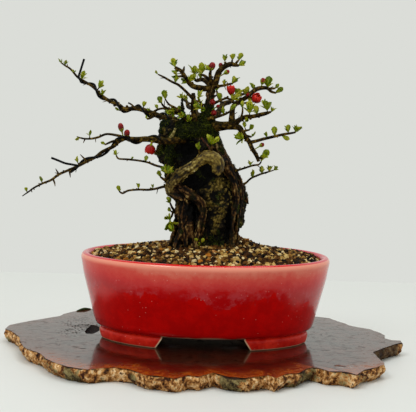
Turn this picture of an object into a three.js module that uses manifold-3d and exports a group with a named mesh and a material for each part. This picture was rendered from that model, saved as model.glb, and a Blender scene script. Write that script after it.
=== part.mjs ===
// A dwarf flowering quince (Chojubai) trained over a rock. It stands in a red glazed oval pot on a slab of
// polished burl wood. Sizes are in millimetres, +Z is up, x runs to the right and +y away from the front.
// The origin lies on the slab's underside, below the middle of the pot.

import * as THREE from 'three';
import { mergeVertices } from 'three/addons/utils/BufferGeometryUtils.js';
import { ImprovedNoise } from 'three/addons/math/ImprovedNoise.js';
import Module from 'manifold-3d';

const wasm = await Module();
wasm.setup();

// Driving dimensions
const GAP = 0.3;
const SLAB_THICKNESS = 12;
const POT_LENGTH = 224;
const POT_WIDTH = 179;
const POT_HEIGHT = 75.4;
const POT_FLOOR_HEIGHT = 16;
const POT_SIDES = 32;
const FOOT_HEIGHT = 9.5;
const FRONT_FOOT_GAP = 76;
const SIDE_FOOT_GAP = 34;
const DRAIN_HOLE_DIAMETER = 14;
const DRAIN_HOLE_OFFSET = 45;
const DRAIN_MESH_SIZE = 24;
const DRAIN_MESH_THICKNESS = 0.8;
const SOIL_EDGE_DEPTH = 3.6;
const SOIL_MOUND_HEIGHT = 17;
const SOIL_RINGS = 12;
const GRAIN_HEIGHT = 1.7;
const ROCK_BOTTOM = 62;
const BLADE_THICKNESS = 0.6;
const WIRE_DIAMETER = 2;

// Heights and half sizes that follow from them
const SLAB_TOP = SLAB_THICKNESS;
const POT_FLOOR = SLAB_TOP + POT_FLOOR_HEIGHT;
const POT_RIM = SLAB_TOP + POT_HEIGHT;
const SOIL_EDGE = POT_RIM - SOIL_EDGE_DEPTH;
const OVAL_DIFFERENCE = (POT_LENGTH - POT_WIDTH) / 2;
const WIRE_RADIUS = WIRE_DIAMETER / 2;

const noise = new ImprovedNoise();

function seededRandom(seed) {
  let state = seed;
  return () => {
    state = (state + 0x6d2b79f5) | 0;
    let mixed = Math.imul(state ^ (state >>> 15), 1 | state);
    mixed = (mixed + Math.imul(mixed ^ (mixed >>> 7), 61 | mixed)) ^ mixed;
    return ((mixed ^ (mixed >>> 14)) >>> 0) / 2 ** 32;
  };
}

// Lumps of about the given size, between -1 and 1
function lumps(point, size, offset = 0) {
  return noise.noise(point.x / size + offset, point.y / size + offset, point.z / size - offset);
}

// Closed three.js geometry to a solid, with its faces turned outwards
function solidOf(geometry) {
  const bare = geometry.clone();
  bare.deleteAttribute('normal');
  bare.deleteAttribute('uv');
  const merged = mergeVertices(bare, 1e-4);
  const position = merged.attributes.position;
  const index = merged.index.array;
  const corners = [];
  let volume = 0;
  const [a, b, c] = [new THREE.Vector3(), new THREE.Vector3(), new THREE.Vector3()];
  for (let i = 0; i < index.length; i += 3) {
    const [p, q, r] = [index[i], index[i + 1], index[i + 2]];
    if (p !== q && q !== r && r !== p) {
      corners.push(p, q, r);
      a.fromBufferAttribute(position, p);
      b.fromBufferAttribute(position, q);
      c.fromBufferAttribute(position, r);
      volume += a.dot(b.cross(c));
    }
  }
  const triVerts = new Uint32Array(corners);
  if (volume < 0) {
    triVerts.reverse();
  }
  return new wasm.Manifold(new wasm.Mesh({
    numProp: 3,
    vertProperties: new Float32Array(position.array),
    triVerts,
  }));
}

function geometryOf(solid) {
  const { vertProperties, triVerts, numProp } = solid.getMesh();
  const positions = new Float32Array((vertProperties.length / numProp) * 3);
  for (let i = 0; i < positions.length / 3; i += 1) {
    positions.set(vertProperties.subarray(i * numProp, i * numProp + 3), i * 3);
  }
  const geometry = new THREE.BufferGeometry();
  geometry.setAttribute('position', new THREE.BufferAttribute(positions, 3));
  geometry.setIndex(new THREE.BufferAttribute(new Uint32Array(triVerts), 1));
  geometry.computeVertexNormals();
  return geometry;
}

function join(solids) {
  return solids.reduce((whole, next) => whole.add(next));
}

// Scraps that a cut leaves loose are dropped
function largestPiece(solid) {
  const pieces = solid.decompose();
  return pieces.reduce((largest, next) => (next.volume() > largest.volume() ? next : largest));
}

const object = new THREE.Group();

function addPiece(name, solid, color, roughness, metalness = 0) {
  const material = new THREE.MeshStandardMaterial({ color, roughness, metalness });
  const mesh = new THREE.Mesh(geometryOf(solid), material);
  mesh.name = name;
  object.add(mesh);
}

// The pot's rings are ovals: the half width follows from the half length
function ovalHalfWidth(halfLength) {
  return halfLength - OVAL_DIFFERENCE * Math.min(1, halfLength / 60);
}

// Turned oval body from a profile of [half length, height above the slab]
function ovalBody(profile, sides) {
  const outline = profile.map(([halfLength, height]) => new THREE.Vector2(halfLength, height));
  const geometry = new THREE.LatheGeometry(outline, sides);
  const position = geometry.attributes.position;
  for (let i = 0; i < position.count; i += 1) {
    const [x, height, y] = [position.getX(i), position.getY(i), position.getZ(i)];
    const halfLength = Math.hypot(x, y);
    const squash = halfLength > 0 ? ovalHalfWidth(halfLength) / halfLength : 1;
    position.setXYZ(i, x, y * squash, height + SLAB_TOP);
  }
  return solidOf(geometry);
}

// Prism of an outline in x and z that runs along y, both ways from the middle
function prismAlongY(outline, halfDepth) {
  const shape = new THREE.Shape(outline.map(([x, z]) => new THREE.Vector2(x, z)));
  const geometry = new THREE.ExtrudeGeometry(shape, { depth: 2 * halfDepth, bevelEnabled: false });
  geometry.translate(0, 0, -halfDepth);
  geometry.rotateX(Math.PI / 2);
  return solidOf(geometry);
}

function box(width, depth, height, x, y, z) {
  return solidOf(new THREE.BoxGeometry(width, depth, height).translate(x, y, z));
}

// Frames along a route: the rings stand square to the path's mean direction at each stop
function framesAlong(points) {
  const frames = [];
  let side = null;
  let before = null;
  points.forEach((point, index) => {
    const next = points[Math.min(index + 1, points.length - 1)];
    const last = points[Math.max(index - 1, 0)];
    const ahead = next.clone().sub(point).normalize();
    const behind = point.clone().sub(last).normalize();
    const direction = ahead.add(behind).normalize();
    if (side === null) {
      const steep = Math.abs(direction.z) > 0.9;
      side = new THREE.Vector3(steep ? 1 : 0, 0, steep ? 0 : 1).cross(direction).normalize();
    } else {
      side = side.clone().applyQuaternion(new THREE.Quaternion().setFromUnitVectors(before, direction));
    }
    before = direction;
    frames.push({ point, direction, side, other: direction.clone().cross(side) });
  });
  return frames;
}

// A limb is a turned stick whose rings are set along a route of stops [x, y, z, radius]
function limb(route, sides, { grow = 0, knobs = 0 } = {}) {
  const points = route.map(([x, y, z]) => new THREE.Vector3(x, y, z));
  const frames = framesAlong(points);
  const last = route.length - 1;
  const rings = route.map((stop, index) => new THREE.Vector2(stop[3], index));
  const profile = [new THREE.Vector2(0, 0), ...rings, new THREE.Vector2(0, last)];
  const geometry = new THREE.LatheGeometry(profile, sides);
  const position = geometry.attributes.position;
  const outward = new THREE.Vector3();
  for (let i = 0; i < position.count; i += 1) {
    const row = Math.round(position.getY(i));
    const { point, direction, side, other } = frames[row];
    outward.set(0, 0, 0).addScaledVector(side, position.getX(i)).addScaledVector(other, position.getZ(i));
    const radius = outward.length();
    const swell = knobs > 0 ? 1 + knobs * lumps(outward.clone().add(point), 7) : 1;
    outward.setLength(radius > 0 ? radius * swell + grow : 0);
    const endways = row === 0 ? -grow : row === last ? grow : 0;
    const place = outward.add(point).addScaledVector(direction, endways);
    position.setXYZ(i, place.x, place.y, place.z);
  }
  return solidOf(geometry);
}

// Lumpy ball, such as a knob of the rock or of the trunk's mossy base
function knob({ middle, radius, stretch }, detail, { grow = 0, roughness = 0.2 } = {}) {
  const geometry = new THREE.IcosahedronGeometry(1, detail);
  const position = geometry.attributes.position;
  const centre = new THREE.Vector3(...middle);
  const place = new THREE.Vector3();
  for (let i = 0; i < position.count; i += 1) {
    place.fromBufferAttribute(position, i).normalize().multiply(new THREE.Vector3(...stretch));
    place.multiplyScalar(radius);
    const swell = 1 + roughness * lumps(place.clone().add(centre), radius * 0.55);
    place.setLength(place.length() * swell + grow).add(centre);
    position.setXYZ(i, place.x, place.y, place.z);
  }
  return solidOf(geometry);
}

// Burl slab: its outline on the top face, from the left tip round the front, the right and the back
const SLAB_OUTLINE = [
  [-183, 7], [-176, -2], [-169, -18], [-164, -30], [-161, -46], [-157, -62], [-153, -75], [-148, -84],
  [-141, -92], [-136, -99], [-131, -112], [-128, -120], [-119, -134], [-109, -146], [-100, -152],
  [-90, -156], [-79, -149], [-70, -146], [-58, -151], [-50, -162], [-44, -171], [-34, -172], [-21, -180],
  [-11, -167], [-3, -171], [3, -163], [9, -155], [20, -168], [33, -171], [43, -165], [52, -159],
  [58, -168], [67, -152], [76, -149], [85, -130], [90, -124], [98, -131], [102, -138], [112, -137],
  [118, -141], [123, -148], [131, -129], [143, -117], [151, -105], [152, -97], [150, -86], [149, -67],
  [148, -55], [160, -35], [174, -14], [181, -7], [181, 3], [173, 4], [167, 14], [170, 26], [168, 38],
  [160, 58], [150, 66], [143, 74], [139, 85], [132, 99], [126, 114], [112, 122], [96, 129], [78, 138],
  [58, 134], [40, 141], [18, 146], [-4, 139], [-24, 144], [-46, 136], [-68, 141], [-88, 133],
  [-104, 134], [-112, 130], [-120, 131], [-126, 120], [-133, 108], [-139, 97], [-142, 83], [-152, 70],
  [-163, 56], [-173, 42], [-182, 27],
];
const SLAB_LAYERS = 2;
const SLAB_UNDERCUT = 3;
const BARK_ROUGHNESS = 2.2;
const CRACK_SIDES = 5;
// A long knot hole beside the pot, and two cracks in the top face with stops [x, y, z, radius]
const KNOT_HOLE = { middle: [-102, 16, 13.5], radius: 6.5, stretch: [1, 3.2, 0.9] };
const CRACKS = [
  [[-114, -61, 12, 0.5], [-109, -67, 11.7, 1.3], [-104, -73, 11.8, 1.1], [-97, -78, 12, 0.5]],
  [[108, -118, 12, 0.5], [112, -117, 11.8, 1.1], [118, -116, 12, 0.5]],
];

function burlSlab() {
  const shape = new THREE.Shape(SLAB_OUTLINE.map(([x, y]) => new THREE.Vector2(x, y)));
  const geometry = new THREE.ExtrudeGeometry(shape, {
    depth: SLAB_THICKNESS,
    steps: SLAB_LAYERS,
    bevelEnabled: false,
  });
  const position = geometry.attributes.position;
  const place = new THREE.Vector3();
  for (let i = 0; i < position.count; i += 1) {
    place.fromBufferAttribute(position, i);
    const depth = 1 - place.z / SLAB_THICKNESS;
    const inside = place.z > 0 && place.z < SLAB_THICKNESS;
    const bulge = inside ? BARK_ROUGHNESS * lumps(place, 9) + 0.8 : 0;
    const reach = Math.hypot(place.x, place.y);
    const shift = (bulge - SLAB_UNDERCUT * depth * depth) / reach;
    position.setXYZ(i, place.x * (1 + shift), place.y * (1 + shift), place.z);
  }
  const cracks = CRACKS.map((route) => limb(route, CRACK_SIDES));
  return solidOf(geometry).subtract(join([knob(KNOT_HOLE, 1), ...cracks]));
}

addPiece('burl_slab', burlSlab(), 0x5a2a14, 0.25);

// Glazed pot: one profile runs from the floor over the lip and down to the recess under the base
const POT_INSIDE = [[0, POT_FLOOR_HEIGHT], [86, POT_FLOOR_HEIGHT], [93, 20], [103.8, 68]];
const POT_OUTSIDE = [
  [105, 73.8], [108.6, POT_HEIGHT], [111.2, 74], [POT_LENGTH / 2, 70.5], [104.4, 37], [98.6, 14],
  [93.8, 9.8], [95.3, 6.5], [94.6, 0], [84, 0], [83, FOOT_HEIGHT + 1], [0, FOOT_HEIGHT + 1],
];

function footGap(width) {
  const [top, bottom] = [width / 2 - 3, width / 2 + 3];
  const floor = SLAB_TOP - 1;
  const ceiling = SLAB_TOP + FOOT_HEIGHT;
  const outline = [[-bottom, floor], [bottom, floor], [top, ceiling], [-top, ceiling]];
  return prismAlongY(outline, POT_LENGTH / 2);
}

function drainHole(x) {
  const radius = DRAIN_HOLE_DIAMETER / 2;
  return limb([[x, 0, SLAB_TOP + 5, radius], [x, 0, POT_FLOOR + 5, radius]], 20);
}

function pot() {
  const body = ovalBody([...POT_INSIDE, ...POT_OUTSIDE], POT_SIDES);
  const sideGap = footGap(SIDE_FOOT_GAP).rotate([0, 0, 90]);
  const drainHoles = [drainHole(-DRAIN_HOLE_OFFSET), drainHole(DRAIN_HOLE_OFFSET)];
  return body.subtract(join([footGap(FRONT_FOOT_GAP), sideGap, ...drainHoles]));
}

addPiece('pot', pot(), 0x9c0d12, 0.15);

// Plastic mesh over each drain hole, so that the soil stays in
const MESH_OPENINGS = 3;
const MESH_BAR = 1.6;

function drainMesh(x) {
  const z = POT_FLOOR + GAP + DRAIN_MESH_THICKNESS / 2;
  const pitch = (DRAIN_MESH_SIZE - MESH_BAR) / MESH_OPENINGS;
  const holes = [];
  for (let column = 0; column < MESH_OPENINGS; column += 1) {
    for (let row = 0; row < MESH_OPENINGS; row += 1) {
      const offset = (step) => (step - (MESH_OPENINGS - 1) / 2) * pitch;
      holes.push(box(pitch - MESH_BAR, pitch - MESH_BAR, 3, x + offset(column), offset(row), z));
    }
  }
  return box(DRAIN_MESH_SIZE, DRAIN_MESH_SIZE, DRAIN_MESH_THICKNESS, x, 0, z).subtract(join(holes));
}

addPiece('drain_mesh_left', drainMesh(-DRAIN_HOLE_OFFSET), 0x1c1c1c, 0.6);
addPiece('drain_mesh_right', drainMesh(DRAIN_HOLE_OFFSET), 0x1c1c1c, 0.6);

// Rock: an upright craggy stone. Each level is [height, middle x, half width, middle y, half depth]
const ROCK_LEVELS = [
  [ROCK_BOTTOM, -1, 24, 0, 20], [78, -1, 29, 0, 26], [95, -1, 28, 0, 27], [107, -1, 26.5, 0, 26],
  [115, 4, 29.8, 0, 26], [130, 5, 30, 0, 26], [141, 5, 31, 0, 27], [152, 1, 30, 0, 27],
  [163, -4, 30, 0, 26], [174, -9, 29, 1, 24], [184, -13, 28, 1, 23], [193, -16, 25, 1, 19],
  [202, -20, 16, 1, 12],
];
const ROCK_SIDES = 16;
const UPPER_LOBE = { middle: [-35, -1, 195.5], radius: 11, stretch: [1, 1.1, 1.07] };
const LOWER_LOBE = { middle: [-36, -5, 177.3], radius: 10.5, stretch: [1, 1.1, 1.07] };
const HOLLOW = { middle: [-17, -28, 181], radius: 12.5, stretch: [0.95, 1.1, 0.95] };

function rock(grow = 0) {
  const last = ROCK_LEVELS.length - 1;
  const rings = ROCK_LEVELS.map((level, index) => new THREE.Vector2(1, index));
  const profile = [new THREE.Vector2(0, 0), ...rings, new THREE.Vector2(0, last)];
  const geometry = new THREE.LatheGeometry(profile, ROCK_SIDES);
  const position = geometry.attributes.position;
  const place = new THREE.Vector3();
  for (let i = 0; i < position.count; i += 1) {
    const [along, index, across] = [position.getX(i), Math.round(position.getY(i)), position.getZ(i)];
    const [height, x, halfWidth, y, halfDepth] = ROCK_LEVELS[index];
    const ends = index === 0 ? -grow : index === last ? grow : 0;
    place.set(x + along * halfWidth, y + across * halfDepth, height);
    const craggy = 2.6 * lumps(place, 17) + 1.9 * lumps(place, 7.3, 5) + grow;
    position.setXYZ(i, place.x + along * craggy, place.y + across * craggy, height + ends);
  }
  const lobes = [knob(UPPER_LOBE, 2, { grow }), knob(LOWER_LOBE, 2, { grow })];
  return largestPiece(join([solidOf(geometry), ...lobes]).subtract(knob(HOLLOW, 1, { grow: -grow })));
}

// Trunk and roots: stops are [x, y, z, radius]
const TRUNK_ROUTES = [
  // trunk, from the mossy saddle on top of the rock up to where the leader and the left limb part
  [[-10, 2, 190, 15], [-6, -3, 198, 12.5], [-3, -3, 206, 9], [-1, -2, 215, 5.3], [0, -1, 224, 3.8],
    [0.5, 0, 231, 3.4], [1.5, 0, 237, 3.2], [3, 0, 239.5, 2.7]],
  // saddle to the left over the rock, then down beside the hollow to the left knee
  [[-4, -8, 198, 9], [-14, -11, 197, 9], [-24, -13, 195, 8], [-31, -15, 188, 5.5], [-34, -17, 178, 4],
    [-35, -19, 167, 4], [-33, -22, 157, 4.5], [-30, -24, 148, 5]],
  // looped root in front, from its blunt right end over the top and down to the left knee and the soil
  [[7, -31, 161.5, 4], [8.6, -32, 166, 5.3], [7.8, -33, 171.5, 5.7], [3, -33, 175.4, 5.7],
    [-2.8, -32, 175.6, 5.3], [-7.5, -32, 172, 5.1], [-12.8, -32, 167.6, 5.2], [-20.5, -31, 162.5, 5.5],
    [-27.5, -28, 156, 5.9], [-31.5, -25, 149, 5.7], [-30.5, -24, 143.5, 4.9], [-25.5, -25, 140.2, 4.4],
    [-20.5, -26, 137, 4.2], [-18.2, -26, 131.5, 3.8], [-18.8, -26, 125, 3.4], [-21, -27, 116, 3.1],
    [-24, -29, 104, 3], [-26, -30, 92, 2.8], [-27, -29, 80, 2.2]],
  // bridge behind the loop's right end, back to the strand on the right
  [[8, -31, 169, 4.2], [11, -25, 171, 4.6], [14, -16, 172, 5]],
  // second root, out of the left knee to the middle
  [[-25, -28, 148, 4.3], [-17, -30, 143.5, 4.4], [-11, -31, 140, 4.2], [-5.5, -31, 135, 3.4],
    [-3.5, -31, 127, 3], [-5, -31, 116, 2.7], [-8, -31, 105, 2.5], [-10, -32, 92, 2.4], [-10, -31, 80, 2]],
  // strands on the right, from the trunk's shoulder down the rock
  [[-3, -5, 200, 11], [1, -7, 192, 9.5], [6, -9, 184, 8], [10, -10, 176, 6.6], [14.5, -11, 169, 6],
    [19.5, -11, 162, 5.4], [24, -11, 155, 4.9], [28, -11, 147, 4.4], [29.5, -13, 138, 3.6],
    [28, -16, 129, 3], [27.5, -18, 118, 2.7], [26, -18, 106, 2.5], [26, -15, 94, 2.4], [26, -13, 80, 2.2]],
  [[6, -13, 186, 5.5], [11, -17, 176, 5], [16.5, -20, 167, 4.6], [22, -22, 157, 4.1], [26, -23, 147, 3.7],
    [27.2, -23, 137, 3.3], [25.8, -23, 127, 2.9], [24.3, -23, 117, 2.7], [23.8, -23, 106, 2.5],
    [24, -25, 92, 2.4], [24, -25, 80, 2.1]],
  [[20, -8, 162, 3.6], [26.5, -8, 155, 3.3], [31, -8, 147, 2.8], [33.7, -7, 140.5, 2.1],
    [35.6, -6, 136, 1.5], [37.2, -6, 133, 0.8]],
  // fine roots below the left knee
  [[-27, -24, 143, 3.8], [-25, -21, 134, 2.9], [-25.7, -21, 122, 2.7], [-27.4, -22, 111, 2.6],
    [-29.7, -21, 100, 2.5], [-33, -20, 90, 2.2]],
  [[-20.5, -26, 137, 3], [-21.5, -26, 128, 2.7], [-22.5, -27, 117, 2.4], [-19, -29, 107, 2.2],
    [-17, -31, 94, 2.1], [-17, -30, 82, 1.8]],
  // roots down the back
  [[-8, 6, 199, 10], [-2, 17, 188, 7.5], [2, 23, 174, 6], [-1, 26, 157, 5.2], [5, 27, 138, 4.4],
    [10, 27, 118, 3.6], [11, 27, 98, 2.9], [14, 27, 80, 2.4]],
  [[2, 23, 176, 4.8], [-8, 25, 162, 4.6], [-16, 26, 142, 3.9], [-15, 26.5, 119, 3.2], [-17, 28, 97, 2.7],
    [-19, 27, 80, 2.2]],
  [[5, 6, 196, 8], [13, 11, 182, 6], [20, 15, 165, 5], [26, 17, 145, 4], [25, 18, 122, 3.2],
    [22, 20, 100, 2.6], [22, 20, 82, 2.2]],
  [[-16, 10, 197, 7], [-26, 15, 186, 5], [-31, 17, 168, 4.4], [-28, 18, 146, 3.8], [-25, 19, 122, 3.1],
    [-24, 20, 99, 2.6], [-25, 20, 82, 2.2]],
  // dry stub at the upper left and a short spur on the trunk
  [[-19, -4, 202, 3.2], [-23, -3, 211, 1.8], [-24.5, -3, 219, 1.7], [-24.5, -3, 224, 1.4],
    [-25, -3, 227, 1]],
  [[1, 0, 227, 1.6], [6, -4, 230, 0.8], [10, -6, 232.5, 0.4]],
];
const TRUNK_SIDES = 6;
const THIN_ROOT = 4;
const THIN_ROOT_SIDES = 5;
const TRUNK_KNOBS = 0.32;
const SADDLE = { middle: [-12, -4, 200], radius: 12, stretch: [1.6, 1.1, 0.8] };

function trunk(grow = 0) {
  const limbs = TRUNK_ROUTES.map((route) => {
    const sides = route[0][3] < THIN_ROOT ? THIN_ROOT_SIDES : TRUNK_SIDES;
    return limb(route, sides, { grow, knobs: TRUNK_KNOBS });
  });
  return join([...limbs, knob(SADDLE, 1, { grow, roughness: 0.3 })]);
}

const rockSolid = rock();
const rockClearance = rock(GAP);
const trunkSolid = largestPiece(trunk().subtract(rockClearance));
const trunkClearance = trunk(GAP);

addPiece('rock', rockSolid, 0x2b2e1c, 0.85);
addPiece('trunk_and_roots', trunkSolid, 0x5b4a30, 0.8);

// Soil: a mound of grains with a heap to the right of the rock. Its top is a disc of rings with six more
// points on each ring outwards. Its side is held clear of the pot's wall from the rim down to the floor.
const SOIL_TOP_REACH = 102.9;
const SOIL_BOTTOM_REACH = 85.1;
const SOIL_HEAP = { x: 24, y: 12, reach: 27, height: 7 };

function soilHeight(x, y) {
  const outward = Math.hypot(x / (POT_LENGTH / 2), y / (POT_WIDTH / 2));
  const fromHeap = Math.hypot(x - SOIL_HEAP.x, y - SOIL_HEAP.y) / SOIL_HEAP.reach;
  const mound = SOIL_MOUND_HEIGHT * Math.max(0, 1 - outward);
  return SOIL_EDGE + mound + SOIL_HEAP.height * Math.max(0, 1 - fromHeap);
}

function soilTop(halfLength) {
  const random = seededRandom(11);
  const points = [[0, 0, soilHeight(0, 0)]];
  const triangles = [];
  const first = (ring) => 1 + 3 * ring * (ring - 1);
  for (let ring = 1; ring <= SOIL_RINGS; ring += 1) {
    const count = 6 * ring;
    const edge = ring === SOIL_RINGS;
    for (let step = 0; step < count; step += 1) {
      const jitter = edge ? 0 : (random() - 0.5) * 0.5;
      const angle = ((step + jitter) / count) * 2 * Math.PI;
      const reach = (halfLength * (ring + (edge ? 0 : (random() - 0.5) * 0.4))) / SOIL_RINGS;
      const [x, y] = [reach * Math.cos(angle), ovalHalfWidth(reach) * Math.sin(angle)];
      const grain = edge ? 0 : GRAIN_HEIGHT * (random() - 0.5) * 2;
      points.push([x, y, soilHeight(x, y) + grain]);
    }
    let [inner, outer] = [0, 0];
    const innerCount = Math.max(1, count - 6);
    while (inner < (ring === 1 ? 0 : innerCount) || outer < count) {
      const innerPoint = ring === 1 ? 0 : first(ring - 1) + (inner % innerCount);
      const outerPoint = first(ring) + (outer % count);
      if (ring === 1 || (outer + 0.5) / count < (inner + 0.5) / innerCount + 1e-9) {
        triangles.push([innerPoint, outerPoint, first(ring) + ((outer + 1) % count)]);
        outer += 1;
      } else {
        triangles.push([innerPoint, outerPoint, first(ring - 1) + ((inner + 1) % innerCount)]);
        inner += 1;
      }
    }
  }
  return { points, triangles, edgeStart: first(SOIL_RINGS), edgeCount: 6 * SOIL_RINGS };
}

function soilBody() {
  const { points, triangles, edgeStart, edgeCount } = soilTop(SOIL_TOP_REACH);
  const bottomStart = points.length;
  const middle = bottomStart + edgeCount;
  const halfWidth = ovalHalfWidth(SOIL_BOTTOM_REACH);
  for (let step = 0; step < edgeCount; step += 1) {
    const angle = (step / edgeCount) * 2 * Math.PI;
    points.push([SOIL_BOTTOM_REACH * Math.cos(angle), halfWidth * Math.sin(angle), POT_FLOOR + GAP]);
    const next = (step + 1) % edgeCount;
    triangles.push([edgeStart + step, bottomStart + step, bottomStart + next]);
    triangles.push([edgeStart + step, bottomStart + next, edgeStart + next]);
    triangles.push([middle, bottomStart + next, bottomStart + step]);
  }
  points.push([0, 0, POT_FLOOR + GAP]);
  const geometry = new THREE.BufferGeometry();
  geometry.setAttribute('position', new THREE.Float32BufferAttribute(points.flat(), 3));
  geometry.setIndex(triangles.flat());
  return solidOf(geometry);
}

function meshPocket(x) {
  const size = DRAIN_MESH_SIZE + 2 * GAP;
  const top = POT_FLOOR + 2 * GAP + DRAIN_MESH_THICKNESS;
  return box(size, size, 2 * (top - POT_FLOOR), x, 0, POT_FLOOR);
}

function soil() {
  const pockets = [meshPocket(-DRAIN_HOLE_OFFSET), meshPocket(DRAIN_HOLE_OFFSET)];
  return largestPiece(soilBody().subtract(join([rockClearance, trunkClearance, ...pockets])));
}

addPiece('soil', soil(), 0x4a3525, 0.95);

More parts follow.
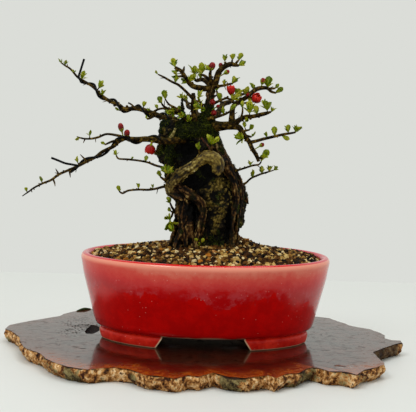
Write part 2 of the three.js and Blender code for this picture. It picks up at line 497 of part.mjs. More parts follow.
// Branches and shoots, each a leafy stem of its own. Limb stops are [x, y, z, radius], from the limb that
// it grows out of to its tip. Tufts are [x, y, z, number of leaves, leaf length].
const BRANCHES = {
  branch_upper_left: {
    limbs: [
      [[-18, -5, 201, 3.6], [-26, -2, 204, 3], [-34, 0, 208, 2.6], [-42, 2, 209, 2.3],
        [-52.5, 4, 212.5, 2.1], [-64.5, 7, 216, 1.9], [-77, 10, 215.5, 1.7], [-83, 12, 219, 1.6],
        [-92.5, 14, 223, 1.4], [-99.5, 16, 228, 1.2], [-106.5, 18, 234.5, 1.1], [-115, 20, 239.5, 1],
        [-121, 21, 243, 0.9], [-127.5, 22, 250, 0.8], [-132.5, 23, 253, 0.7], [-137, 24, 256, 0.5]],
      [[-48, 3, 211, 1.2], [-53, 1, 208, 1], [-55.5, 0, 207, 0.7]],
      [[-71, 8, 216, 1.2], [-80.5, 9, 214, 0.9]],
      [[-67, 7, 216, 0.9], [-70.5, 6, 219.5, 0.7], [-73.5, 6, 221, 0.6]],
      [[-51.5, 4, 212.5, 1.1], [-46, 3, 216, 0.9], [-39, 1, 217, 0.9], [-35, 0, 216, 0.6]],
    ],
    tufts: [[-59, 5, 220, 3, 5], [-55, 0, 214.5, 2, 4], [-57, 2, 207.5, 2, 4], [-136, 24, 256, 2, 4],
      [-132, 22, 255.5, 2, 4.5], [-125, 20, 247, 2, 4.5], [-116, 20, 244, 3, 6], [-99, 16, 236, 3, 6.5],
      [-97, 13, 229, 3, 6], [-83, 8, 213.5, 2, 4], [-48, 3, 218, 2, 4]],
  },
  twig_back_left_low: {
    limbs: [[[-19, -7, 201, 1.9], [-26.5, -6, 212, 1.4], [-34, -6, 215.5, 1.1], [-40.5, -6, 218.5, 0.9],
      [-43, -7, 221.5, 0.7]]],
    tufts: [[-44.5, -7, 223, 4, 6], [-33, -9, 212, 3, 6]],
  },
  twig_back_left_high: {
    limbs: [[[-16, -12, 202, 1.8], [-22, -11, 209, 1.4], [-27, -11, 215, 1.1], [-31, -11, 218, 0.9],
      [-36, -12, 220.5, 0.8], [-39.5, -12, 225, 0.6]]],
    tufts: [[-40, -12, 226.5, 3, 5.5], [-24, -15, 209, 3, 5], [-18, -18, 207, 3, 5]],
  },
  branch_lower_left: {
    limbs: [
      [[-22, -14, 190, 3.4], [-32, -20, 189, 2.9], [-41, -16, 188, 2.5], [-49, -14, 189, 2.3],
        [-55.5, -16, 189.5, 2.2], [-62, -18, 189, 2.1], [-69, -20, 189, 2.1], [-73.5, -22, 190, 1.9],
        [-79.5, -24, 186.5, 1.5], [-83.5, -25, 182.5, 1.4], [-93, -27, 177.5, 1.3], [-98.5, -28, 173, 1.2],
        [-106, -29, 169, 1.2], [-113, -30, 165, 1.1], [-121.5, -31, 161, 1], [-130, -32, 157, 1],
        [-136.5, -33, 152, 0.9], [-143.5, -34, 149, 0.8], [-151, -35, 145, 0.7], [-155.5, -36, 141.5, 0.6],
        [-161, -37, 137.5, 0.35]],
      [[-73.5, -22, 190, 1.4], [-80, -22, 192, 1.1], [-90, -21, 193, 0.9], [-97.5, -20, 190, 0.9],
        [-104, -20, 188.5, 0.8], [-111, -19, 188.5, 0.7], [-116.5, -19, 190, 0.4]],
      [[-77, -23, 188.5, 1], [-84, -26, 187, 0.9], [-90.5, -28, 184, 0.7]],
      [[-130, -32, 157, 0.8], [-131.5, -32, 159.5, 0.6], [-133, -32, 162, 0.2]],
      [[-135, -33, 153, 0.8], [-133.5, -33, 149.5, 0.6], [-133, -33, 146.5, 0.2]],
      [[-121, -31, 161, 0.8], [-120.5, -31, 157.5, 0.6], [-120, -31, 154.5, 0.2]],
      [[-106, -29, 169, 0.8], [-109, -30, 172, 0.6], [-112, -31, 175, 0.2]],
      [[-109, -19, 188.5, 0.7], [-110.5, -20, 184.5, 0.2]],
    ],
    tufts: [[-115, -20, 187, 2, 4], [-105, -20, 193, 2, 5], [-158, -37, 143, 2, 4],
      [-115, -30, 169.5, 2, 4.5], [-92, -28, 184, 2, 4], [-145.5, -34, 152, 2, 4]],
  },
  shoot_left_high: {
    limbs: [[[-31, -20, 164, 1.4], [-38, -24, 165, 1], [-46, -28, 167, 0.9], [-52.5, -31, 169.5, 0.8],
      [-60, -34, 171, 0.8], [-69.5, -37, 172, 0.8], [-77.5, -39, 172.5, 0.7], [-79.5, -40, 175, 0.6]]],
    tufts: [[-80.5, -40, 176.5, 3, 4.5], [-54.5, -31, 172.5, 2, 4.5], [-66, -36, 173.5, 2, 3.5]],
  },
  shoot_left_low: {
    limbs: [[[-31, -24, 149, 1.5], [-38, -26, 148.5, 1.1], [-45.5, -28, 146.5, 0.9], [-52, -29, 145.5, 0.9],
      [-59.5, -30, 145.5, 0.8], [-69, -31, 144.5, 0.8], [-74, -31, 142, 0.8], [-77, -31, 143.5, 0.6]]],
    tufts: [[-78, -31, 145.5, 3, 4.5], [-60.5, -31, 149, 2, 4.5], [-48, -30, 148.5, 2, 3.5]],
  },
  shoot_knee: {
    limbs: [[[-32, -24, 151, 1.4], [-38, -26, 154.5, 1.1], [-41.5, -27, 157, 0.7]],
      [[-37.6, -25.9, 154.2, 1.1], [-35.5, -29, 157, 1], [-34.5, -32, 160, 0.8]]],
    tufts: [[-42.5, -27, 158.5, 3, 5.5], [-34, -33, 161, 4, 6.5], [-38, -31, 162, 3, 6]],
  },
  shoot_left_foot: {
    limbs: [[[-24, -21, 125, 1.5], [-29.6, -23, 128.5, 1], [-32.5, -24, 134, 0.7]],
      [[-29.2, -22.8, 128.3, 0.9], [-30.6, -25, 123, 0.8], [-32, -27, 120.5, 0.6]],
      [[-24, -21, 124, 1.2], [-31.5, -23, 126.5, 0.7]]],
    tufts: [[-33.5, -24, 135.5, 3, 4.5], [-32.5, -24, 126.5, 2, 4], [-32.5, -27, 121, 3, 5],
      [-32, -28, 115, 4, 6.5]],
  },
  branch_inner_left: {
    limbs: [
      [[-9, -8, 198, 3.4], [-13, -12, 206, 2.5], [-14, -12, 213, 2.1], [-15, -12, 219, 1.9],
        [-14.5, -12, 225.5, 1.8], [-15, -11, 231, 1.5]],
      [[-14.5, -12, 225.5, 1.4], [-20.5, -15, 231.5, 1.1], [-27.5, -18, 237.5, 1], [-34, -20, 240.5, 0.9],
        [-40.5, -22, 244, 0.8], [-46, -24, 246.5, 0.5]],
      [[-13.5, -12, 224.5, 1], [-9, -14, 223.5, 0.8], [-7, -15, 221, 0.8], [-6, -15, 217, 0.7]],
      [[-14.5, -12, 222, 0.9], [-17, -14, 222, 0.8], [-21, -16, 220.5, 0.6]],
    ],
    tufts: [[-9.5, -15, 229.5, 3, 5], [-10.5, -17, 217, 4, 6], [-46.5, -24, 247, 2, 4],
      [-6, -16, 215.5, 2, 4.5], [-30, -20, 242, 2, 4.5]],
  },
  branch_top_left: {
    limbs: [
      [[1.5, 0, 236.5, 2.9], [-5, -3, 235.5, 2.4], [-9.5, -6, 236, 2.3], [-13, -8, 236.5, 2.1],
        [-16.5, -10, 238, 2], [-20.5, -11, 242, 1.8], [-23.5, -12, 246.5, 1.7], [-26, -13, 250, 1.5],
        [-29, -14, 252, 1.3], [-31.5, -14, 253.5, 1]],
      [[-25, -12, 248.5, 1.3], [-24, -10, 251.5, 1], [-23.5, -9, 254.5, 0.4]],
      [[-23, -12, 246, 1.1], [-26.5, -14, 245.5, 0.9], [-29.5, -15, 245.5, 0.6]],
    ],
    tufts: [[-32.5, -14, 255.5, 3, 5.5], [-29.5, -13, 248.5, 2, 4.5], [-30, -16, 243.5, 3, 5],
      [-17, -12, 243, 3, 6.5], [-22.5, -14, 238.5, 2, 5]],
  },
  twig_top_left: {
    limbs: [[[1, 1, 238, 2.2], [-5.5, 4, 243, 1.8], [-9, 6, 243.5, 1.6], [-12.5, 7, 242.5, 1.3],
      [-14.5, 7, 244.5, 1], [-14.5, 7, 248, 0.7]]],
    tufts: [[-14.5, 7, 249, 5, 6], [-9, 8, 246.5, 2, 4.5]],
  },
  twig_apex: {
    limbs: [[[1.5, -1, 238, 2.1], [0.5, -3, 243, 1.6], [-0.5, -4, 248, 1.3], [0, -4, 251.5, 1]],
      [[0.5, -3, 242, 1.6], [-3, -6, 245, 1.3], [-6, -8, 247, 1.1], [-9.5, -9, 248, 0.5]]],
    tufts: [[-7.5, -10, 250.5, 3, 7], [-2.5, -5, 252, 3, 5]],
  },
  leader: {
    limbs: [[[2, 0, 238, 3.2], [4.5, 0, 241.5, 2.8], [6, 1, 247, 2.5], [7.5, 2, 251, 2.3],
      [12, 3, 255.5, 2.1], [17.5, 4, 258, 1.9], [21, 5, 257.5, 1.6], [25, 6, 257, 1]], [[13.5, 3, 256, 1.2],
      [12.5, 3, 260, 1]], [[21.5, 5, 257.5, 1.1], [23.5, 6, 260.5, 0.9], [25, 6, 262, 0.7]],
      [[18.5, 4, 257.5, 1], [19, 4, 262, 0.7]]],
    tufts: [[25.5, 6, 263, 4, 6], [19.5, 4, 263.5, 3, 5.5], [27, 7, 256.5, 3, 5], [12.5, 3, 261, 2, 4.5],
      [10, 6, 251, 2, 5]],
  },
  twig_top_right: {
    limbs: [[[2.5, -1, 237, 2], [8, -4, 238, 1.2], [13.5, -7, 239, 1], [17, -9, 240, 0.9],
      [19.5, -10, 240.5, 0.8]]],
    tufts: [[21, -10, 242, 5, 5], [12, -7, 241, 2, 4.5]],
  },
  twig_mid_right: {
    limbs: [[[1, -3, 221.5, 1.6], [7.5, -8, 224.5, 1], [10.5, -10, 226, 0.9], [14.5, -12, 227.5, 0.9],
      [16, -13, 229, 0.8]], [[14, -12, 227.5, 0.9], [19, -14, 226.5, 0.7]]],
    tufts: [[20.5, -14, 226.5, 3, 5.5], [9, -9, 228, 2, 4.5]],
  },
  branch_right: {
    limbs: [
      [[-2, -6, 201, 5.5], [4.5, -6, 202, 4.8], [10.5, -8, 202.5, 3.8], [17, -10, 203.5, 3.3],
        [22.5, -11, 205.5, 2.8], [26.5, -13, 208.5, 2], [32, -15, 211.5, 1.7], [38, -16, 212, 1.6],
        [44, -17, 213.5, 1.7], [49.5, -18, 215, 1.5], [54, -18, 216.5, 0.8]],
      [[27.5, -13, 209.5, 1], [29, -14, 215, 0.8], [29, -14, 219.5, 0.6]],
    ],
    tufts: [[49.5, -18, 221, 3, 7.5], [35, -16, 218, 5, 6.5], [41, -18, 216.5, 3, 5.5],
      [55, -18, 217, 2, 4], [29, -14, 221, 2, 4.5], [32, -18, 207, 2, 4.5]],
  },
  branch_right_low: {
    limbs: [
      [[17, -9, 203, 3.2], [26, -12, 202, 2.4], [29.5, -14, 197.5, 2.1], [33, -16, 193, 1.9],
        [36, -17, 189, 1.8], [38, -18, 184.5, 1.7], [41, -19, 180, 1.6], [43, -19.5, 176.5, 1.5],
        [44.5, -20, 172.5, 1.2]],
      [[32, -15, 195, 1.1], [37.5, -16, 194, 0.8]],
      [[29.5, -14, 198, 1.1], [33, -15, 199.5, 0.9], [35.5, -16, 200, 0.7]],
      [[43, -19.5, 176, 1], [48, -20, 175.5, 0.7]],
    ],
    tufts: [[49.5, -20, 176.5, 4, 5.5], [28, -18, 190.5, 5, 6.5], [36.5, -16, 200.5, 3, 4.5],
      [31, -14, 203.5, 2, 4.5], [38.5, -16, 194.5, 2, 3.5]],
  },
  shoot_right_long: {
    limbs: [[[36, -17, 189, 1.6], [41.5, -21, 190.5, 1.3], [47.5, -24, 192.5, 1.2], [56.5, -28, 195, 1.1],
      [65.5, -32, 197.5, 1], [71, -34, 198.5, 0.9], [75, -35, 199.5, 0.7]]],
    tufts: [[76.5, -36, 201, 4, 5.5], [57, -28, 198.5, 2, 5], [68.5, -33, 201.5, 2, 5],
      [64.5, -31, 194, 2, 4.5], [50, -26, 196, 2, 4]],
  },
  branch_right_high: {
    limbs: [
      [[20, -9, 203.5, 3], [20, -8, 212, 2.3], [20.5, -7, 219, 2], [23.5, -6, 223, 1.9],
        [27.5, -4, 225.5, 1.8], [32, -2, 228.5, 1.8], [36.5, 0, 232.5, 1.8], [41, 2, 236, 1.8],
        [45.5, 3, 237.5, 1.7], [51, 4, 237.5, 1.4], [55, 5, 234.5, 1.1], [59, 6, 233.5, 0.8]],
      [[52, 4, 237, 1.1], [58, 2, 237.5, 0.8]],
      [[24.5, -6, 223.5, 1], [23.5, -6, 228.5, 0.8]],
      [[33, -2, 229, 1.1], [37, -6, 228.5, 0.9], [41, -9, 227.5, 0.8]],
    ],
    tufts: [[60.5, 6, 233.5, 3, 5], [59.5, 2, 238, 2, 4], [52, 4, 241.5, 4, 6.5], [25, -5, 231, 4, 6],
      [38, 2, 237.5, 2, 5], [31, -5, 232.5, 2, 4.5]],
  },
  twig_right_cross: {
    limbs: [[[-3, -9, 208, 1.8], [4, -13, 210, 1.3], [10, -16, 212, 1.1], [15, -18, 214, 0.9],
      [19, -19, 217, 0.7]]],
    tufts: [[20, -20, 218.5, 3, 5], [12, -18, 214.5, 2, 5]],
  },
  shoot_right_mid: {
    limbs: [[[22, -12, 163, 1.5], [27.5, -15, 164.5, 0.9], [33.5, -14, 166.5, 0.8], [39.5, -12, 168.5, 0.8],
      [45, -11, 169.5, 0.7], [47, -11, 172, 0.6]]],
    tufts: [[47.5, -11, 173.5, 2, 4], [37, -13, 170, 2, 4]],
  },
  shoot_right_low: {
    limbs: [[[29, -4, 149.5, 1.4], [34.5, 2, 152, 0.9], [39, 6, 156, 0.8], [47, 10, 159.5, 0.8],
      [53.5, 13, 161.5, 0.7], [60, 16, 163.5, 0.4]]],
    tufts: [[40.5, 6, 158.5, 2, 5], [48.5, 10, 162.5, 2, 4.5], [55.5, 14, 164, 2, 4.5],
      [60.5, 16, 164, 2, 4]],
  },
  shoot_front: {
    limbs: [[[3, -32, 177, 1.3], [2.5, -35, 183.5, 0.7], [2.5, -35.5, 187, 0.6]]],
    tufts: [[2, -36, 188.5, 3, 6], [4.5, -35.5, 188, 2, 5.5]],
  },
  shoot_front_left: {
    limbs: [[[-6, -32, 174, 1.2], [-8, -35, 180, 0.7], [-8.5, -35.5, 182, 0.6]]],
    tufts: [[-9, -36, 183, 3, 5]],
  },
  branch_back: {
    limbs: [
      [[-2, 4, 204, 4.4], [-6, 14, 209, 3.3], [-12, 24, 212, 2.6], [-14, 35, 217, 2.1], [-20, 47, 219, 1.7],
        [-22, 58, 224, 1.2], [-26, 67, 226, 0.7]],
      [[-12, 25, 212, 1.6], [-20, 33, 210, 1.2], [-30, 38, 212, 0.9], [-38, 44, 211, 0.5]],
      [[-15, 37, 217, 1.5], [-8, 45, 221, 1.1], [-3, 54, 221, 0.7]],
    ],
    tufts: [[-27, 68, 227, 3, 5.5], [-23, 55, 226, 2, 5], [-39, 45, 212, 3, 5], [-28, 36, 214, 2, 5],
      [-2, 56, 222, 3, 5.5], [-9, 43, 223, 2, 5], [-13, 30, 217, 3, 6]],
  },
  branch_back_right: {
    limbs: [
      [[1, 3, 210, 3.4], [8, 11, 215, 2.6], [12, 20, 222, 2.2], [19, 27, 225, 1.8], [24, 36, 231, 1.4],
        [32, 42, 232, 0.9]],
      [[12, 20, 222, 1.4], [8, 28, 228, 1.1], [6, 34, 234, 0.8]],
      [[19, 27, 225, 1.3], [28, 28, 223, 1], [36, 32, 225, 0.6]],
    ],
    tufts: [[33, 43, 233, 3, 5.5], [24, 37, 234, 2, 5], [6, 35, 235.5, 3, 5.5], [37, 33, 226, 3, 5],
      [27, 28, 226, 2, 5]],
  },
};
const LIMB_SIDES = 5;
const THIN_LIMB = 2.6;
const THIN_SIDES = 4;
const STALK_HALF_WIDTH = 0.4;
const LEAF_TRIES = 24;
const LEAF_ARCH = 0.3;
const LEAF_SPREAD = [0, 0.9, 0.85, 0.75, 0.65];
const LEAF_HALF_WIDTH = [0.28, 0.26, 0.25, 0.22, 0.2];

function nearestPoint(target, limbs) {
  const best = { distance: Infinity, point: null, direction: null };
  limbs.forEach((route) => {
    for (let i = 1; i < route.length; i += 1) {
      const from = new THREE.Vector3(...route[i - 1].slice(0, 3));
      const to = new THREE.Vector3(...route[i].slice(0, 3));
      const point = new THREE.Line3(from, to).closestPointToPoint(target, true, new THREE.Vector3());
      const distance = point.distanceTo(target);
      if (distance < best.distance) {
        Object.assign(best, { distance, point, direction: to.sub(from).normalize() });
      }
    }
  });
  return best;
}

function branchWood({ limbs }, grow = 0) {
  return join(limbs.map((route) => limb(route, route[0][3] < THIN_LIMB ? THIN_SIDES : LIMB_SIDES, { grow })));
}

// Thin fan of spoon-shaped leaves along +x that part at the end of one stalk, arched along and across
function leafFan(count, length, stalk, grow = 0) {
  const leafAngle = LEAF_SPREAD[count - 1];
  const halfWidth = length * LEAF_HALF_WIDTH[count - 1] + grow;
  const foot = STALK_HALF_WIDTH + grow;
  const outline = [new THREE.Vector2(-stalk, -foot)];
  for (let leaf = 0; leaf < count; leaf += 1) {
    const angle = (leaf - (count - 1) / 2) * leafAngle;
    const reach = length * (leaf % 2 === 0 ? 1 : 0.86) + grow;
    const edge = [[0.55 * reach, -0.8 * halfWidth], [0.95 * reach, -0.75 * halfWidth],
      [0.9 * reach, 0.85 * halfWidth], [0.5 * reach, 0.7 * halfWidth]];
    edge.forEach(([x, y]) => outline.push(new THREE.Vector2(x, y).rotateAround(new THREE.Vector2(), angle)));
    if (leaf < count - 1) {
      const notch = new THREE.Vector2(0.22 * length + grow, 0);
      outline.push(notch.rotateAround(new THREE.Vector2(), angle + leafAngle / 2));
    }
  }
  outline.push(new THREE.Vector2(-stalk, foot));
  const thickness = BLADE_THICKNESS + 2 * grow;
  const shape = new THREE.Shape(outline);
  const geometry = new THREE.ExtrudeGeometry(shape, { depth: thickness, bevelEnabled: false });
  geometry.translate(0, 0, -thickness / 2);
  const position = geometry.attributes.position;
  for (let i = 0; i < position.count; i += 1) {
    const [x, y] = [position.getX(i), position.getY(i)];
    const arch = x > 0 ? (y * y - 0.4 * x * x) / length : 0;
    position.setZ(i, position.getZ(i) + LEAF_ARCH * arch);
  }
  return geometry.translate(stalk, 0, 0);
}

function placed(geometry, origin, direction, roll) {
  const across = new THREE.Vector3(0, 0, 1).cross(direction);
  if (across.length() < 0.05) {
    across.set(0, 1, 0);
  }
  across.normalize().applyAxisAngle(direction, roll);
  const normal = direction.clone().cross(across);
  const turn = new THREE.Matrix4().makeBasis(direction, across, normal).setPosition(origin);
  return solidOf(geometry.applyMatrix4(turn));
}

function touches(solid, other) {
  const [a, b] = [solid.boundingBox(), other.boundingBox()];
  const near = [0, 1, 2].every((axis) => a.min[axis] < b.max[axis] && b.min[axis] < a.max[axis]);
  return near && !solid.intersect(other).isEmpty();
}

// Each tuft is a fan of leaves round its middle. One that would touch another piece turns until it is clear.
function tuftLeaves(tuft, limbs, obstacles, random) {
  const [x, y, z, count, length] = tuft;
  const middle = new THREE.Vector3(x, y, z);
  const { point, distance, direction: along } = nearestPoint(middle, limbs);
  const axis = distance > 1 ? middle.sub(point).normalize() : along;
  const square = new THREE.Vector3(axis.y, -axis.x, 0.01).normalize();
  for (let attempt = 0; attempt < LEAF_TRIES; attempt += 1) {
    const lean = random() * (0.2 + 0.03 * attempt);
    const turn = random() * 2 * Math.PI;
    const direction = axis.clone().applyAxisAngle(square.clone().applyAxisAngle(axis, turn), lean);
    const size = length * (1.1 + random() * 0.25);
    const stalk = Math.max(0.4, distance - 0.4 * size);
    const roll = (random() - 0.5) * 2;
    const reach = placed(leafFan(count, size, stalk, GAP), point, direction, roll);
    if (!obstacles.some((obstacle) => touches(reach, obstacle))) {
      return [placed(leafFan(count, size, stalk), point, direction, roll)];
    }
  }
  return [];
}

// Training wires: black aluminium, wound round a branch and left with a straight tail
const WIRE_SIDES = 4;
const WIRE_STEPS_PER_TURN = 10;
const WIRES = {
  training_wire_upper: {
    branch: 'branch_upper_left',
    from: 18,
    to: 112,
    turns: 3.8,
    phase: -0.4,
    tail: [[-118, 16.5, 240], [-119.5, 16.5, 243.5], [-118, 16.5, 249], [-115, 17, 259.5]],
  },
  training_wire_lower: {
    branch: 'branch_lower_left',
    from: 22,
    to: 112,
    turns: 2.7,
    phase: 0.4,
    tail: [[-113.5, -32.5, 164.5], [-118.5, -33.5, 166], [-124.5, -34, 167], [-131, -35, 169.5],
      [-136.5, -35.5, 171.5]],
  },
};

function wireRoute({ branch, from, to, turns, phase, tail }) {
  const route = BRANCHES[branch].limbs[0];
  const points = route.map(([x, y, z]) => new THREE.Vector3(x, y, z));
  const frames = framesAlong(points);
  const lengths = [0];
  for (let i = 1; i < points.length; i += 1) {
    lengths.push(lengths[i - 1] + points[i].distanceTo(points[i - 1]));
  }
  const steps = Math.round(turns * WIRE_STEPS_PER_TURN);
  const stops = [];
  for (let step = 0; step <= steps; step += 1) {
    const along = from + ((to - from) * step) / steps;
    const segment = lengths.findIndex((length) => length > along);
    const part = (along - lengths[segment - 1]) / (lengths[segment] - lengths[segment - 1]);
    const blend = (pick) => pick(segment - 1).clone().lerp(pick(segment), part);
    const side = blend((i) => frames[i].side).normalize();
    const other = blend((i) => frames[i].other).normalize();
    const limbRadius = route[segment - 1][3] * (1 - part) + route[segment][3] * part;
    const radius = limbRadius + WIRE_RADIUS + GAP;
    const angle = phase + (turns * 2 * Math.PI * step) / steps;
    const place = points[segment - 1].clone().lerp(points[segment], part);
    place.addScaledVector(side, radius * Math.cos(angle)).addScaledVector(other, radius * Math.sin(angle));
    stops.push([...place, WIRE_RADIUS]);
  }
  return [...stops, ...tail.map((point) => [...point, WIRE_RADIUS])];
}

// Flower buds: [base, tip, widest radius]. The base lies on the twig that carries the bud.
const CLOSED_BUDS = {
  bud_fork_high: [[-75.5, -22, 192], [-78.5, -21, 203], 2.4],
  bud_fork_low: [[-72.5, -22.5, 190.5], [-71.5, -24.5, 197.5], 2.5],
  bud_apex: [[0, -4, 251.5], [2, -3.5, 259], 3],
  bud_apex_back: [[8, 2.5, 252.5], [9, 4.5, 259], 1.9],
  bud_calyx: [[7, 0, 246], [16.5, -3, 252], 2.1],
  bud_trunk_high: [[-0.5, -3, 221.5], [4, -9, 225], 2.6],
  bud_trunk_small: [[0, -4, 215.5], [8.5, -10.5, 221], 1.5],
  bud_trunk_low: [[-1, -5, 213], [6, -11, 214.5], 2.5],
  bud_right_high: [[45.5, 3, 238], [47.5, 2, 246.5], 2.3],
  bud_right_small: [[32, -2.5, 228.5], [34, -6, 232.5], 1.7],
  bud_right_low: [[39.5, -19, 182.5], [48.5, -24, 188.5], 1.9],
};
const OPEN_BLOOMS = {
  bloom_hanging: [[-52, -16, 188], [-53, -19, 177], 4.6],
  bloom_middle: [[16, -13, 229], [18.5, -15, 239.5], 4.5],
  bloom_right: [[41, -9, 227.5], [43, -13.5, 230.5], 4.7],
};

// Bud turned round its own axis: stalk, green cup, then the twisted folds of its petals up to the tip
const BUD_FOLDS = 5;
const BUD_TWIST = 0.9;

function closedBud([base, tip, radius]) {
  const from = new THREE.Vector3(...base);
  const axis = new THREE.Vector3(...tip).sub(from);
  const length = axis.length();
  const ball = radius * 2.3;
  const neck = Math.max(0.8, length - ball);
  const profile = [[0, 0], [0.8, 0], [0.9, neck], [radius * 0.85, neck + ball * 0.15],
    [radius, neck + ball * 0.5], [radius * 0.75, neck + ball * 0.85], [0, length]];
  const geometry = new THREE.LatheGeometry(profile.map(([x, y]) => new THREE.Vector2(x, y)), BUD_FOLDS);
  const position = geometry.attributes.position;
  for (let i = 0; i < position.count; i += 1) {
    const [x, y, z] = [position.getX(i), position.getY(i), position.getZ(i)];
    const twist = y > neck ? (BUD_TWIST * (y - neck)) / ball : 0;
    const [cos, sin] = [Math.cos(twist), Math.sin(twist)];
    position.setXYZ(i, x * cos - z * sin, y, x * sin + z * cos);
  }
  const turn = new THREE.Quaternion().setFromUnitVectors(new THREE.Vector3(0, 1, 0), axis.normalize());
  geometry.applyQuaternion(turn).translate(from.x, from.y, from.z);
  return solidOf(geometry);
}

// Ring of rounded petals that part round a common middle, cupped upwards along +z
function petalRing(petals, radius, cup) {
  const outline = [];
  for (let petal = 0; petal < petals; petal += 1) {
    const angle = (petal / petals) * 2 * Math.PI;
    const half = Math.PI / petals;
    const stops = [[0.36, -1], [0.75, -0.78], [1, -0.35], [1, 0.35], [0.75, 0.78]];
    stops.forEach(([reach, turn]) => {
      const at = angle + half * turn;
      outline.push(new THREE.Vector2(radius * reach * Math.cos(at), radius * reach * Math.sin(at)));
    });
  }
  const shape = new THREE.Shape(outline);
  const geometry = new THREE.ExtrudeGeometry(shape, { depth: PETAL_THICKNESS, bevelEnabled: false });
  const position = geometry.attributes.position;
  for (let i = 0; i < position.count; i += 1) {
    const reach = Math.hypot(position.getX(i), position.getY(i)) / radius;
    position.setZ(i, position.getZ(i) + cup * radius * reach * reach);
  }
  return geometry;
}

// Half open bloom: stalk, cup and twisted heart in one turned body, inside two rings of cupped petals
const PETAL_THICKNESS = 0.8;
const PETAL_LAYERS = [
  { reach: 1, cup: 0.75, height: 1.75, turn: 0 },
  { reach: 0.78, cup: 0.95, height: 1.45, turn: 0.63 },
];

function openBloom([base, tip, radius]) {
  const heart = closedBud([base, tip, radius * 0.42]);
  const foot = new THREE.Vector3(...base);
  const axis = new THREE.Vector3(...tip).sub(foot);
  const length = axis.length();
  const face = new THREE.Quaternion().setFromUnitVectors(new THREE.Vector3(0, 0, 1), axis.normalize());
  const layers = PETAL_LAYERS.map(({ reach, cup, height, turn }) => {
    const ring = petalRing(5, radius * reach, cup).rotateZ(turn).applyQuaternion(face);
    const seat = foot.clone().addScaledVector(axis, length - radius * height);
    return solidOf(ring.translate(seat.x, seat.y, seat.z));
  });
  return join([heart, ...layers]);
}

// All wood is grown first, each branch cut clear of what stands before it, then wires, blooms and leaves
const branchNames = Object.keys(BRANCHES);
const woods = {};
const clearances = { rock: rockClearance, trunk: trunkClearance };
let standing = rockClearance.add(trunkClearance);
branchNames.forEach((name) => {
  woods[name] = largestPiece(branchWood(BRANCHES[name]).subtract(standing));
  clearances[name] = branchWood(BRANCHES[name], GAP);
  standing = standing.add(clearances[name]);
});

const wireClearances = [];
Object.entries(WIRES).forEach(([name, wire]) => {
  const route = wireRoute(wire);
  const solid = limb(route, WIRE_SIDES).subtract(rockClearance.add(trunkClearance));
  addPiece(name, largestPiece(solid), 0x0d0d0f, 0.4, 1);
  wireClearances.push(limb(route, WIRE_SIDES, { grow: GAP / 2 }));
});

const bloomSolids = {};
Object.entries(CLOSED_BUDS).forEach(([name, bud]) => {
  bloomSolids[name] = closedBud(bud);
});
Object.entries(OPEN_BLOOMS).forEach(([name, bloom]) => {
  bloomSolids[name] = openBloom(bloom);
});
Object.entries(bloomSolids).forEach(([name, bloom]) => {
  const solid = largestPiece(bloom.subtract(join([standing, ...wireClearances])));
  addPiece(name, solid, 0xb00d1c, 0.5);
});

const blooms = join(Object.values(bloomSolids));
const leafRandom = seededRandom(7);
const leavesSoFar = [];
branchNames.forEach((name) => {
  const { limbs, tufts } = BRANCHES[name];
  const others = Object.keys(clearances).filter((other) => other !== name);
  const otherWood = others.map((other) => clearances[other]);
  const obstacles = [...otherWood, blooms, ...wireClearances, ...leavesSoFar];
  const leaves = tufts.flatMap((tuft) => tuftLeaves(tuft, limbs, obstacles, leafRandom));
  const leafy = leaves.length > 0 ? join([woods[name], ...leaves]) : woods[name];
  const solid = largestPiece(leafy.subtract(join(wireClearances)));
  addPiece(name, solid, 0x6d7a2c, 0.7);
  leavesSoFar.push(...leaves);
});

export default object;
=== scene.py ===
import functools
import math
import random
from collections import namedtuple

import bmesh
import bpy
import numpy as np
from mathutils import Matrix, Quaternion, Vector, kdtree, noise


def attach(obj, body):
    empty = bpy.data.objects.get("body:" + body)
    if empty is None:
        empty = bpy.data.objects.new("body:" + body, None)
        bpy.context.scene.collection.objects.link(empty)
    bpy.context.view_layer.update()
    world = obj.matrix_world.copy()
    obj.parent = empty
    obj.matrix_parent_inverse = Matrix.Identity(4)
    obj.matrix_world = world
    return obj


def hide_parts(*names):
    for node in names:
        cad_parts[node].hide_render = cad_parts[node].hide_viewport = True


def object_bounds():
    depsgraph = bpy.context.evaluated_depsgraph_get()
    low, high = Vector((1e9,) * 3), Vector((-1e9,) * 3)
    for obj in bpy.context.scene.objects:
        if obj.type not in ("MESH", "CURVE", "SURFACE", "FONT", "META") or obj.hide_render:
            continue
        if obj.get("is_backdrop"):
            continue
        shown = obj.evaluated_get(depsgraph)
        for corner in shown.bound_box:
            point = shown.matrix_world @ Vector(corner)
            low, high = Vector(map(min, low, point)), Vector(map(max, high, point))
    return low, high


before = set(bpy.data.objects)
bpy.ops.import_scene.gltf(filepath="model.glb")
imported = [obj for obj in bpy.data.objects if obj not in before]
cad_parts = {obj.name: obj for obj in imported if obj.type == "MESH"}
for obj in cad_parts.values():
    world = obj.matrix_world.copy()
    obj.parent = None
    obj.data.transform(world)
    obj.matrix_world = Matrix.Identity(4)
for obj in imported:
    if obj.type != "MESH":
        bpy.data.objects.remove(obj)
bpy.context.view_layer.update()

# Display slab: a cross cut of burl wood, flat and varnished on top, with its rough bark left on round its
# edge. A knot hole and two short cracks are open beside the pot, and the top is pitted near the hole.
MM = 0.001
